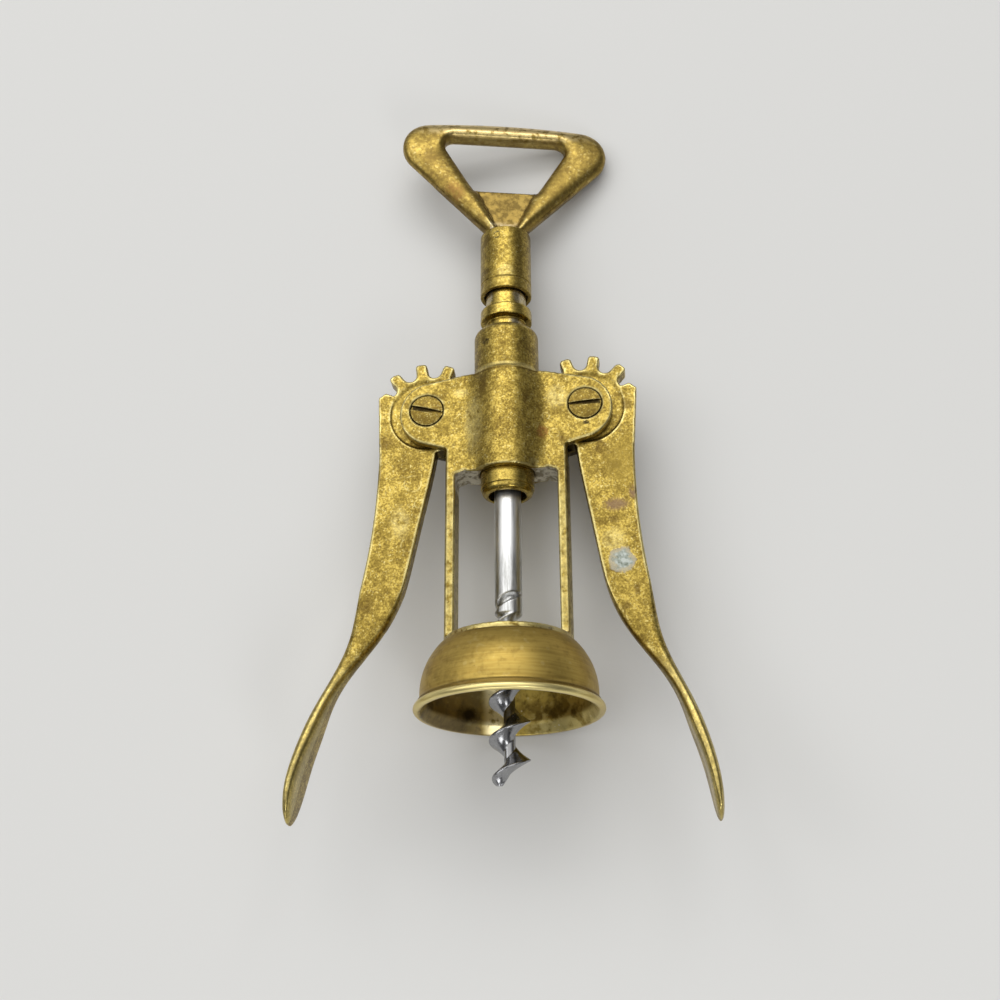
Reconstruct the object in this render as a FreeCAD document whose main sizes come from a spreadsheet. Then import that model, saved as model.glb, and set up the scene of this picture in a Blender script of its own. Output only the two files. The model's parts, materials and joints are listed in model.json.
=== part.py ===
import FreeCAD, Part
import math
import os
import re

import Sketcher

# Wing corkscrew, all brass with a steel worm. Millimetres.
#
# Every piece is drawn in the tool's own frame: Z runs along the tool with the mouth of the bell
# at zero and the handle above it, X runs from the left lever to the right one, and the front of
# the tool, where the screw heads are, faces -Y. At the end one placement lays the tool down on
# the rim of its bell and the end of its handle, with +Z up.

DOC = FreeCAD.newDocument("wing_corkscrew")
SHEET = DOC.addObject("Spreadsheet::Sheet", "Sizes")

# Driving dimensions: the alias, its value and what it measures.
DRIVING = [
    ("bell_mouth_radius", 20.0, "bell: outside of the lip"),
    ("bell_wall", 1.4, "bell: thickness of the spun wall"),
    ("bell_height", 14.4, "bell: mouth to the flat top"),
    ("bell_lip_height", 1.6, "bell: height of the rolled lip"),
    ("bell_band_height", 0.8, "bell: height of the plain band above the lip"),
    ("bell_band_overhang", 0.85, "bell: how far the lip stands out from the band"),
    ("bell_lip_overhang", 1.4, "bell: how far the lip stands out from the side"),
    ("bell_taper", 4.1, "bell: how far the side draws in from the band to the flat top"),
    ("bell_side_round", 15.0, "bell: radius of the side in section"),
    ("bell_hole_radius", 7.0, "bell and ring: hole that the worm passes"),
    ("ring_radius", 13.75, "casting: outside of the base ring and of the legs"),
    ("ring_height", 1.4, "casting: thickness of the base ring"),
    ("casting_depth", 8.0, "casting: front face to back face"),
    ("leg_width", 2.5, "casting: width of a leg"),
    ("body_bottom", 53.2, "casting: lower edge of the body beside the legs"),
    ("body_arch", 1.4, "casting: rise of the lower edge towards the middle"),
    ("body_top", 77.8, "casting: upper edge of the body at the collar"),
    ("ear_round", 7.85, "casting: radius of an ear's round end"),
    ("ear_lead", 1.4, "casting: how far beyond the pivot that round begins"),
    ("ear_rise", 6.5, "casting: top of the round above the pivot"),
    ("ear_drop", 7.9, "casting: foot of the round below the pivot"),
    ("ear_heel", 59.6, "casting: where the ear meets the leg"),
    ("barrel_radius", 7.65, "casting: round bulge in the middle of the body"),
    ("barrel_blend", 4.5, "casting: hollow that blends the bulge into the plate"),
    ("collar_radius", 7.35, "casting: turned collar above the body"),
    ("collar_top", 89.7, "casting: top of the collar"),
    ("collar_round", 1.9, "casting: rounding of the collar's top edge"),
    ("pivot_spread", 17.75, "pivots: distance from the tool's axis"),
    ("pivot_height", 69.1, "pivots: height above the mouth of the bell"),
    ("lever_thickness", 3.8, "lever: thickness of the toothed plate"),
    ("lever_clearance", 0.1, "lever: play on each side in its slot"),
    ("slot_play", 0.45, "casting: play between the slot's floor and the tooth tips"),
    ("rub_radius", 8.6, "lever: radius of the worn recess round the pivot"),
    ("rub_depth", 0.35, "lever: depth of that recess"),
    ("tooth_tip_radius", 13.15, "lever: tips of the teeth"),
    ("tooth_root_radius", 9.5, "lever: floor between the teeth"),
    ("tooth_half_width", 1.35, "lever: half the width of a tooth"),
    ("tooth_tip_round", 0.7, "lever: rounding of a tooth's corners"),
    ("tooth_base_flare", 0.9, "lever: how far the foot of a tooth spreads"),
    ("tooth_base_height", 1.3, "lever: height of that spread"),
    ("pitch_radius", 12.35, "lever: radius at which it rolls on the rack"),
    ("tooth_step_angle", 30.0, "lever: degrees from tooth to tooth"),
    ("tooth_count", 5, "lever: number of teeth"),
    ("first_tooth_angle", 9.2, "lever: degrees of the lowest tooth above level at rest"),
    ("lever_droop_angle", 1.1, "levers: degrees that tooth play lets each lever sag"),
    ("arm_edge_radius", 0.5, "lever: rounding of the arm's edges"),
    ("shoulder_reach", 11.5, "lever: outer corner of the shoulder, out from the pivot"),
    ("shoulder_rise", 4.6, "lever: outer corner of the shoulder, up from the pivot"),
    ("pivot_pin_radius", 2.0, "pivot screw: plain shank"),
    ("pivot_fit", 0.06, "lever: running clearance on the pivot screw"),
    ("screw_head_radius", 3.65, "pivot screw: head"),
    ("screw_head_height", 1.2, "pivot screw: head sunk into the casting"),
    ("screw_head_dome", 0.3, "pivot screw: rise of the domed head"),
    ("screw_head_gap", 0.12, "pivot screw: gap round the sunk head"),
    ("screw_slot_width", 1.0, "pivot screw: driver slot"),
    ("screw_slot_depth", 0.8, "pivot screw: depth of the driver slot"),
    ("left_slot_angle", -15.0, "pivot screws: degrees that the left driver slot is turned"),
    ("right_slot_angle", 5.0, "pivot screws: degrees that the right driver slot is turned"),
    ("rack_radius", 5.95, "rack: outside of the rings"),
    ("rack_fit", 0.08, "casting: clearance round the rack"),
    ("rack_floor_radius", 4.4, "rack: floor of the grooves"),
    ("rack_neck_radius", 4.65, "rack: neck above the top ring"),
    ("rack_groove_floor", 3.4, "rack: width of a groove at its floor"),
    ("rack_groove_mouth", 3.9, "rack: width of a groove at its mouth"),
    ("groove_count", 4, "rack: number of grooves below the top ring"),
    ("rack_neck_height", 5.75, "rack: neck from the top ring up into the handle"),
    ("rack_bottom", 48.8, "rack: lower end"),
    ("rack_bead_height", 1.6, "rack: height of the rounded lower end"),
    ("rack_bead_round", 1.25, "rack: rounding of the lower end"),
    ("rack_bead_step", 0.2, "rack: step at the rounded lower end"),
    ("rack_mouth_radius", 4.2, "rack: counterbore at the lower end"),
    ("rack_mouth_depth", 6.2, "rack: depth of that counterbore"),
    ("spindle_radius", 2.5, "spindle: journal inside the rack and the handle"),
    ("spindle_fit", 0.05, "rack: running clearance round the journal"),
    ("shank_radius", 2.95, "spindle: bare shank below the rack"),
    ("shoulder_gap", 0.1, "spindle: end play of the rack between shoulder and handle"),
    ("flute_top", 26.0, "spindle: where the flute runs out of the shank"),
    ("flute_depth", 1.0, "spindle: depth of that flute"),
    ("worm_top", 21.3, "worm: where it leaves the shank"),
    ("worm_radius", 4.3, "worm: outside of the blade"),
    ("worm_core_radius", 1.2, "worm: core"),
    ("worm_pitch", 8.1, "worm: rise of one turn"),
    ("worm_blade_root", 5.6, "worm: thickness of the blade at the core"),
    ("worm_blade_edge", 0.4, "worm: thickness of the blade at its edge"),
    ("worm_hollow", 4.0, "worm: hollow of the blade's flanks"),
    ("worm_start", -14.1, "worm: height of the blade's lower end"),
    ("worm_tip", 14.9, "worm: how far the point stands out of the bell at rest"),
    ("worm_start_angle", 155.5, "worm: degrees round the axis at which the blade starts"),
    ("handle_radius", 5.95, "handle: outside of the barrel"),
    ("handle_length", 16.3, "handle: lower rim of the barrel to the opener head"),
    ("handle_recess_radius", 5.1, "handle: recess in the lower rim"),
    ("handle_recess_depth", 1.6, "handle: depth of that recess"),
    ("scribe_height", 2.8, "handle: scribed line above the lower rim"),
    ("scribe_depth", 0.15, "handle: depth of the scribed line"),
    ("scribe_width", 0.4, "handle: width of the scribed line"),
    ("spindle_seat", 15.4, "handle: how deep the spindle sits above the lower rim"),
    ("cross_pin_radius", 0.75, "handle: cross pin through barrel and spindle"),
    ("cross_pin_height", 14.2, "handle: cross pin above the lower rim"),
    ("cross_pin_angle", 63.0, "handle: degrees round the axis at which it is drilled"),
    ("head_depth", 5.0, "opener head: front to back"),
    ("head_half_width", 25.0, "opener head: widest reach to each side, corners rounded"),
    ("head_side_rise", 24.4, "opener head: its widest points above the barrel"),
    ("head_corner_reach", 32.8, "opener head: reach of the sharp corner before rounding"),
    ("head_corner_round", 6.9, "opener head: round of the upper corners"),
    ("head_rise", 32.75, "opener head: crown of the top bar above the barrel"),
    ("head_crown_rise", 2.6, "opener head: rise of the crown over the sharp corners"),
    ("head_foot_half_width", 3.2, "opener head: half the width at the barrel"),
    ("mouth_top_rise", 27.95, "opener head: upper edge of the opening above the barrel"),
    ("mouth_bottom_rise", 12.9, "opener head: lower edge of the opening above the barrel"),
    ("mouth_top_half_width", 16.5, "opener head: half the upper edge of the opening, corners sharp"),
    ("mouth_bottom_half_width", 7.7, "opener head: half the lower edge of the opening"),
    ("mouth_corner_round", 2.4, "opener head: rounding of the opening's upper corners"),
    ("web_depth", 2.0, "opener head: thickness of the web under the opening"),
    ("web_foot_half_width", 1.8, "opener head: half the width of the web at its foot"),
    ("web_foot_height", 1.4, "opener head: foot of the web above the barrel"),
    ("head_edge_round", 1.9, "opener head: rounding of the loop's outer edges"),
    ("mouth_edge_round", 1.3, "opener head: rounding of the opening's edges"),
    ("head_boss_height", 1.7, "opener head: cone of metal on the barrel round the loop's foot"),
    ("head_boss_slope", 2.4, "opener head: how far that cone draws in"),
    ("handle_spin_angle", 11.5, "rest: degrees that the handle is turned from the casting"),
]

# Sections through a lever's arm, from the pivot down to the tip of the paddle. All are counted
# from the pivot: how far down, the inner edge, the outer edge, and half the front-to-back depth.
ARM_SECTIONS = [
    ("arm_root", 9.2, -2.2, 10.75, 1.90),
    ("arm_upper", 18.0, -0.75, 10.85, 1.90),
    ("arm_middle", 29.0, 1.4, 11.6, 1.95),
    ("arm_lower", 40.0, 3.6, 13.15, 2.0),
    ("arm_bend", 48.0, 6.25, 14.5, 2.05),
    ("arm_neck", 55.0, 10.65, 16.2, 2.2),
    ("arm_waist", 61.0, 15.25, 18.7, 2.75),
    ("palm_top", 69.0, 19.3, 22.25, 4.3),
    ("palm_middle", 78.0, 22.35, 25.05, 6.0),
    ("palm_heel", 85.6, 24.2, 26.4, 6.3),
    ("palm_tip", 90.0, 24.95, 26.55, 4.2),
    ("palm_end", 91.9, 25.35, 26.25, 1.9),
]
for section_name, down, inner, outer, half_depth in ARM_SECTIONS:
    DRIVING.append((section_name + "_down", down, "lever: section below the pivot"))
    DRIVING.append((section_name + "_inner", inner, "lever: inner edge from the pivot"))
    DRIVING.append((section_name + "_outer", outer, "lever: outer edge from the pivot"))
    DRIVING.append((section_name + "_depth", half_depth, "lever: half the depth"))

for row, (alias, value, note) in enumerate(DRIVING, start=1):
    SHEET.set("A" + str(row), note)
    SHEET.set("B" + str(row), str(value))
    SHEET.setAlias("B" + str(row), alias)
DOC.recompute()


# ---------------------------------------------------------------- helpers

X_AXIS = FreeCAD.Vector(1, 0, 0)
Y_AXIS = FreeCAD.Vector(0, 1, 0)
Z_AXIS = FreeCAD.Vector(0, 0, 1)


def moved(x, y, z):
    return FreeCAD.Placement(FreeCAD.Vector(x, y, z), FreeCAD.Rotation())


def turned(axis, degrees):
    return FreeCAD.Placement(FreeCAD.Vector(), FreeCAD.Rotation(axis, degrees))


def size(expression):
    """The value of an expression on the sheet's aliases, in plain numbers."""
    result = SHEET.evalExpression(expression)
    return float(getattr(result, "Value", result))


def bound(expression):
    """The same expression as another object has to write it."""
    names = {alias for alias, value, note in DRIVING}

    def with_sheet(match):
        word = match.group()
        return "Sizes." + word if word in names else word

    return re.sub(r"[a-z_]+", with_sheet, expression)


def bind(thing, prop, expression):
    thing.setExpression(prop, bound(expression))


def new_body(label):
    body = DOC.addObject("PartDesign::Body", label)
    body.Label = label
    return body


def new_sketch(body, name, plane="XZ_Plane", offset=None):
    """A sketch on one of the body's origin planes. On XZ its own y axis runs along the tool."""
    sketch = body.newObject("Sketcher::SketchObject", name)
    support = next(f for f in body.Origin.OriginFeatures if f.Role == plane)
    sketch.AttachmentSupport = [(support, "")]
    sketch.MapMode = "FlatFace"
    if offset is not None:
        bind(sketch, ".AttachmentOffset.Base.z", offset)
    return sketch


def arc_between(start, end, radius, side):
    """An arc from start to end with its centre to the left or right of the way there."""
    half = (end - start) / 2
    reach = half.Length
    radius = max(radius, reach * 1.0000001)
    normal = FreeCAD.Vector(-half.y, half.x, 0).normalize()
    if side == "right":
        normal = -normal
    centre = start + half + normal * math.sqrt(radius * radius - reach * reach)
    middle = centre - normal * radius
    return Part.Arc(start, middle, end)


def draw_outline(sketch, steps):
    """A closed outline. Each step is (x, y, None) for a straight edge to the next corner, or
    (x, y, (radius, side)) for an arc to it. Coordinates and radii are sheet expressions."""
    corners = [FreeCAD.Vector(size(x), size(y), 0) for x, y, edge in steps]
    starts, ends = [], []
    for i, (x, y, edge) in enumerate(steps):
        here, there = corners[i], corners[(i + 1) % len(steps)]
        if edge is None:
            geometry = sketch.addGeometry(Part.LineSegment(here, there))
            starts.append((geometry, 1))
            ends.append((geometry, 2))
            continue
        radius, side = edge
        geometry = sketch.addGeometry(arc_between(here, there, size(radius), side))
        counterclockwise = side == "left"
        starts.append((geometry, 1 if counterclockwise else 2))
        ends.append((geometry, 2 if counterclockwise else 1))
        name = "radius_" + str(i)
        index = sketch.addConstraint(Sketcher.Constraint("Radius", geometry, size(radius)))
        sketch.renameConstraint(index, name)
        sketch.setExpression("Constraints." + name, bound(radius))
    for i, (x, y, edge) in enumerate(steps):
        geometry, end = starts[i]
        before, before_end = ends[i - 1]
        sketch.addConstraint(Sketcher.Constraint("Coincident", geometry, end, before, before_end))
        for kind, value, name in (("DistanceX", x, "x_"), ("DistanceY", y, "y_")):
            constraint = Sketcher.Constraint(kind, -1, 1, geometry, end, size(value))
            index = sketch.addConstraint(constraint)
            sketch.renameConstraint(index, name + str(i))
            sketch.setExpression("Constraints." + name + str(i), bound(value))


def draw_circle(sketch, x, y, radius):
    centre = FreeCAD.Vector(size(x), size(y), 0)
    geometry = sketch.addGeometry(Part.Circle(centre, FreeCAD.Vector(0, 0, 1), size(radius)))
    for kind, value, name in (("DistanceX", x, "x"), ("DistanceY", y, "y")):
        index = sketch.addConstraint(Sketcher.Constraint(kind, -1, 1, geometry, 3, size(value)))
        sketch.renameConstraint(index, name)
        sketch.setExpression("Constraints." + name, bound(value))
    index = sketch.addConstraint(Sketcher.Constraint("Radius", geometry, size(radius)))
    sketch.renameConstraint(index, "radius")
    sketch.setExpression("Constraints.radius", bound(radius))


def pad(body, sketch, name, length):
    """A pad that stands half to each side of its sketch."""
    feature = body.newObject("PartDesign::Pad", name)
    feature.Profile = sketch
    feature.Midplane = True
    bind(feature, "Length", length)
    DOC.recompute()
    return feature


def cut_through(body, sketch, name):
    """A pocket through everything, to both sides of its sketch."""
    before = body.Shape.Volume
    feature = body.newObject("PartDesign::Pocket", name)
    feature.Profile = sketch
    feature.Type = "ThroughAll"
    feature.Midplane = True
    DOC.recompute()
    if body.Shape.Volume >= before:
        raise ValueError(name + " cuts nothing")
    return feature


def cut_to_depth(body, sketch, name, depth):
    """A pocket that reaches depth to each side of its sketch."""
    before = body.Shape.Volume
    feature = body.newObject("PartDesign::Pocket", name)
    feature.Profile = sketch
    feature.Midplane = True
    bind(feature, "Length", depth)
    DOC.recompute()
    if body.Shape.Volume >= before:
        raise ValueError(name + " cuts nothing")
    return feature


def turn(body, sketch, name):
    """The sketch turned about its own y axis."""
    feature = body.newObject("PartDesign::Revolution", name)
    feature.Profile = sketch
    feature.ReferenceAxis = (sketch, ["V_Axis"])
    feature.Angle = 360
    DOC.recompute()
    return feature


def turn_away(body, sketch, name):
    """The sketch turned about its own y axis and taken off the body."""
    before = body.Shape.Volume
    feature = body.newObject("PartDesign::Groove", name)
    feature.Profile = sketch
    feature.ReferenceAxis = (sketch, ["V_Axis"])
    feature.Angle = 360
    DOC.recompute()
    if body.Shape.Volume >= before:
        raise ValueError(name + " cuts nothing")
    return feature


def rounded(body, feature, name, radius, wanted):
    """A fillet on the edges of the feature that wanted() picks."""
    edges = ["Edge" + str(i) for i, edge in enumerate(feature.Shape.Edges, 1) if wanted(edge)]
    fillet = body.newObject("PartDesign::Fillet", name)
    fillet.Base = (feature, edges)
    bind(fillet, "Radius", radius)
    DOC.recompute()
    return fillet


# ---------------------------------------------------------------- bell

def make_bell():
    """A spun cup: rolled lip, plain band, round side, flat top with a hole for the worm."""
    body = new_body("bell")
    sketch = new_sketch(body, "bell_section")
    bead = "bell_lip_height / 2"
    band = "bell_mouth_radius - bell_band_overhang"
    flare = "bell_mouth_radius - bell_lip_overhang"
    top = flare + " - bell_taper"
    side_bottom = "bell_lip_height + bell_band_height"
    draw_outline(sketch, [
        ("bell_mouth_radius - bell_wall", "0", None),
        ("bell_mouth_radius - bell_lip_height / 2", "0", (bead, "left")),
        ("bell_mouth_radius - bell_lip_height / 2", "bell_lip_height", None),
        (band, "bell_lip_height", None),
        (band, side_bottom, None),
        (flare, side_bottom, ("bell_side_round", "left")),
        (top, "bell_height", None),
        ("bell_hole_radius", "bell_height", None),
        ("bell_hole_radius", "bell_height - bell_wall", None),
        (top + " - bell_wall", "bell_height - bell_wall", ("bell_side_round - bell_wall", "right")),
        (flare + " - bell_wall", side_bottom, None),
    ])
    turn(body, sketch, "bell_turned")
    return body


# ---------------------------------------------------------------- frame casting

# Seen from above, the hollow beside the bulge is an arc that touches the plate's face at
# BLEND_REACH and the bulge at (TOUCH_REACH, TOUCH_DEPTH).
BLEND_DEPTH = "(casting_depth / 2 + barrel_blend)"
BLEND_REACH = "sqrt((barrel_radius + barrel_blend) ^ 2 - " + BLEND_DEPTH + " ^ 2)"
TOUCH_REACH = BLEND_REACH + " * barrel_radius / (barrel_radius + barrel_blend)"
TOUCH_DEPTH = BLEND_DEPTH + " * barrel_radius / (barrel_radius + barrel_blend)"


def make_frame_casting():
    """Collar, barrel, two ears, two legs and base ring in one casting, slotted for the levers."""
    body = new_body("frame_casting")

    plate = new_sketch(body, "body_outline")
    leg_foot = "bell_height + ring_height / 2"
    round_start = "pivot_spread + ear_lead"
    corners = [
        ("ring_radius - leg_width", leg_foot, None),
        ("ring_radius", leg_foot, None),
        ("ring_radius", "ear_heel", None),
        (round_start, "pivot_height - ear_drop", ("ear_round", "left")),
        (round_start, "pivot_height + ear_rise", None),
        (BLEND_REACH, "body_top", None),
    ]
    inner = [
        ("-1 * barrel_radius", "body_bottom + body_arch", None),
        ("barrel_radius", "body_bottom + body_arch", None),
        ("ring_radius - leg_width", "body_bottom", None),
    ]
    left = [
        ("-1 * " + BLEND_REACH, "body_top", None),
        ("-1 * (" + round_start + ")", "pivot_height + ear_rise", ("ear_round", "left")),
        ("-1 * (" + round_start + ")", "pivot_height - ear_drop", None),
        ("-1 * ring_radius", "ear_heel", None),
        ("-1 * ring_radius", leg_foot, None),
        ("-1 * (ring_radius - leg_width)", leg_foot, None),
        ("-1 * (ring_radius - leg_width)", "body_bottom", None),
    ]
    draw_outline(plate, corners + left + inner)
    pad(body, plate, "body_plate", "casting_depth")

    barrel_bottom = "body_bottom + 0.4 * body_arch"
    blend = new_sketch(body, "blend_outline", "XY_Plane", "(body_top + " + barrel_bottom + ") / 2")
    hollow = ("barrel_blend", "left")
    draw_outline(blend, [
        (BLEND_REACH, "-1 * casting_depth / 2", hollow),
        (TOUCH_REACH, "-1 * " + TOUCH_DEPTH, None),
        ("-1 * " + TOUCH_REACH, "-1 * " + TOUCH_DEPTH, hollow),
        ("-1 * " + BLEND_REACH, "-1 * casting_depth / 2", None),
        ("-1 * " + BLEND_REACH, "casting_depth / 2", hollow),
        ("-1 * " + TOUCH_REACH, TOUCH_DEPTH, None),
        (TOUCH_REACH, TOUCH_DEPTH, hollow),
        (BLEND_REACH, "casting_depth / 2", None),
    ])
    pad(body, blend, "blend_hollows", "body_top - (" + barrel_bottom + ")")

    turned = new_sketch(body, "barrel_section")
    draw_outline(turned, [
        ("0", barrel_bottom, None),
        ("barrel_radius", barrel_bottom, None),
        ("barrel_radius", "body_top", None),
        ("collar_radius", "body_top", None),
        ("collar_radius", "collar_top - collar_round", ("collar_round", "left")),
        ("collar_radius - collar_round", "collar_top", None),
        ("0", "collar_top", None),
    ])
    turn(body, turned, "barrel_and_collar")

    ring = new_sketch(body, "ring_section")
    draw_outline(ring, [
        ("bell_hole_radius", "bell_height", None),
        ("ring_radius", "bell_height", None),
        ("ring_radius", "bell_height + ring_height", None),
        ("bell_hole_radius", "bell_height + ring_height", None),
    ])
    turn(body, ring, "base_ring")

    # the legs were turned down to the ring's own radius
    around = new_sketch(body, "leg_turning_section")
    draw_outline(around, [
        ("ring_radius", leg_foot, None),
        ("ring_radius + casting_depth", leg_foot, None),
        ("ring_radius + casting_depth", "ear_heel", None),
        ("ring_radius", "ear_heel", None),
    ])
    turn_away(body, around, "turned_legs")

    bore = new_sketch(body, "bore_section")
    draw_outline(bore, [
        ("0", "body_bottom - casting_depth", None),
        ("rack_radius + rack_fit", "body_bottom - casting_depth", None),
        ("rack_radius + rack_fit", "collar_top + casting_depth", None),
        ("0", "collar_top + casting_depth", None),
    ])
    turn_away(body, bore, "rack_bore")

    for side, sign in (("left", "-1"), ("right", "1")):
        across = sign + " * pivot_spread"
        slot = new_sketch(body, side + "_slot_outline")
        draw_circle(slot, across, "pivot_height", "tooth_tip_radius + slot_play")
        cut_to_depth(body, slot, side + "_slot", "lever_thickness + 2 * lever_clearance")
        hole = new_sketch(body, side + "_hole_outline")
        draw_circle(hole, across, "pivot_height", "pivot_pin_radius")
        cut_through(body, hole, side + "_screw_hole")
        seat = new_sketch(body, side + "_seat_outline", offset="casting_depth / 2")
        draw_circle(seat, across, "pivot_height", "screw_head_radius + screw_head_gap")
        cut_to_depth(body, seat, side + "_screw_seat", "2 * screw_head_height")
    return body


# ---------------------------------------------------------------- levers

def arm_section(body, name):
    """A rounded oblong across the arm, drawn level, at its own distance below the pivot."""
    sketch = new_sketch(body, name, "XY_Plane", "-1 * " + name + "_down")
    inner, outer, deep = name + "_inner", name + "_outer", name + "_depth"
    thickness = outer + " - " + inner
    radius = "min(arm_edge_radius ; 0.4 * (" + thickness + "))"
    near, far = inner + " + " + radius, outer + " - " + radius
    draw_outline(sketch, [
        (near, "-1 * " + deep, None),
        (far, "-1 * " + deep, (radius, "left")),
        (outer, "-1 * " + deep + " + " + radius, None),
        (outer, deep + " - " + radius, (radius, "left")),
        (far, deep, None),
        (near, deep, (radius, "left")),
        (inner, deep + " - " + radius, None),
        (inner, "-1 * " + deep + " + " + radius, (radius, "left")),
    ])
    return sketch


def make_lever(label):
    """A toothed plate that turns on its screw and runs down into an arm with a twisted paddle.
    Drawn with the pivot at the origin and the arm to the +X side; both levers are one pattern."""
    body = new_body(label)

    sections = [arm_section(body, name) for name, down, inner, outer, deep in ARM_SECTIONS]
    arm = body.newObject("PartDesign::AdditiveLoft", "arm_and_paddle")
    arm.Profile = sections[0]
    arm.Sections = sections[1:]
    DOC.recompute()

    hub = new_sketch(body, "hub_outline")
    draw_circle(hub, "0", "0", "tooth_root_radius")
    pad(body, hub, "hub", "lever_thickness")

    shoulder = new_sketch(body, "shoulder_outline")
    draw_outline(shoulder, [
        ("arm_root_inner + arm_edge_radius", "-1 * arm_root_down - arm_edge_radius", None),
        ("arm_root_outer - arm_edge_radius", "-1 * arm_root_down - arm_edge_radius", None),
        ("arm_root_outer", "-1 * arm_root_down", None),
        ("shoulder_reach", "shoulder_rise", None),
        ("shoulder_reach - 1.6", "shoulder_rise + 1.2", None),
        ("shoulder_reach - 3.4", "shoulder_rise + 0.5", None),
        ("arm_root_inner", "-1 * arm_root_down", None),
    ])
    pad(body, shoulder, "shoulder", "lever_thickness")

    tooth = new_sketch(body, "tooth_outline")
    foot = "tooth_root_radius - 0.6"
    waist = "tooth_root_radius + tooth_base_height"
    flare = "tooth_half_width + tooth_base_flare"
    crest = "tooth_tip_radius - tooth_tip_round"
    draw_outline(tooth, [
        ("-1 * (" + flare + ")", foot, None),
        (flare, foot, None),
        (flare, "tooth_root_radius - 0.2", ("tooth_base_height * 1.25", "right")),
        ("tooth_half_width", waist, None),
        ("tooth_half_width", crest, ("tooth_tip_round", "left")),
        ("tooth_half_width - tooth_tip_round", "tooth_tip_radius", None),
        ("-1 * (tooth_half_width - tooth_tip_round)", "tooth_tip_radius", ("tooth_tip_round", "left")),
        ("-1 * tooth_half_width", crest, None),
        ("-1 * tooth_half_width", waist, ("tooth_base_height * 1.25", "right")),
        ("-1 * (" + flare + ")", "tooth_root_radius - 0.2", None),
    ])
    # the sketch is turned about the pivot until its tooth is the one next to the shoulder
    last_tooth = "90 - first_tooth_angle - (tooth_count - 1) * tooth_step_angle"
    bind(tooth, ".AttachmentOffset.Rotation.Angle", last_tooth)
    first = pad(body, tooth, "tooth", "lever_thickness")
    teeth = body.newObject("PartDesign::PolarPattern", "teeth")
    teeth.Originals = [first]
    teeth.Axis = (tooth, ["N_Axis"])
    bind(teeth, "Angle", "(tooth_count - 1) * tooth_step_angle")
    bind(teeth, "Occurrences", "tooth_count")
    body.Tip = teeth
    DOC.recompute()

    for face, sign in (("front", "1"), ("back", "-1")):
        rub = new_sketch(body, face + "_rub_outline", offset=sign + " * lever_thickness / 2")
        draw_circle(rub, "0", "0", "rub_radius")
        cut_to_depth(body, rub, face + "_rub", "2 * rub_depth")
    hole = new_sketch(body, "pivot_hole_outline")
    draw_circle(hole, "0", "0", "pivot_pin_radius + pivot_fit")
    cut_through(body, hole, "pivot_hole")
    return body


# ---------------------------------------------------------------- pivot screws

def make_pivot_screw(label):
    """Slotted, slightly domed head on a plain shank. Its axis is Z, with the head on top."""
    body = new_body(label)
    section = new_sketch(body, "screw_section")
    shank = "casting_depth - screw_head_height"
    dome = "(screw_head_radius ^ 2 + screw_head_dome ^ 2) / (2 * screw_head_dome)"
    draw_outline(section, [
        ("0", "-1 * (" + shank + ")", None),
        ("pivot_pin_radius", "-1 * (" + shank + ")", None),
        ("pivot_pin_radius", "0", None),
        ("screw_head_radius", "0", None),
        ("screw_head_radius", "screw_head_height", (dome, "left")),
        ("0", "screw_head_height + screw_head_dome", None),
    ])
    turn(body, section, "screw_turned")
    slot = new_sketch(body, "driver_slot_outline")
    top = "screw_head_height + screw_head_dome"
    draw_outline(slot, [
        ("-0.5 * screw_slot_width", top + " - screw_slot_depth", None),
        ("0.5 * screw_slot_width", top + " - screw_slot_depth", None),
        ("0.5 * screw_slot_width", top + " + screw_slot_depth", None),
        ("-0.5 * screw_slot_width", top + " + screw_slot_depth", None),
    ])
    cut_through(body, slot, "driver_slot")
    return body


# ---------------------------------------------------------------- rack and spindle

# The grooves stand where the teeth meet the rack, counted up from the lowest tooth's groove.
RING_STEP = "(pitch_radius * tooth_step_angle * pi / 180)"
LOWEST_MESH = "pivot_height + pitch_radius * first_tooth_angle * pi / 180"
NECK_BOTTOM = LOWEST_MESH + " + (tooth_count - 1) * " + RING_STEP + " - rack_groove_floor / 2"
RACK_TOP = NECK_BOTTOM + " + rack_neck_height"
SHOULDER = "rack_bottom + rack_mouth_depth"

# The handle sits on the rack's neck, and the opener head on the handle.
HANDLE_BOTTOM = RACK_TOP + " - handle_recess_depth"
HANDLE_TOP = HANDLE_BOTTOM + " + handle_length"
SPINDLE_TOP = HANDLE_BOTTOM + " + spindle_seat"
MOUTH_TOP = HANDLE_TOP + " + mouth_top_rise"
MOUTH_BOTTOM = HANDLE_TOP + " + mouth_bottom_rise"
CORNER_HEIGHT = HANDLE_TOP + " + head_rise - head_crown_rise"


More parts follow.
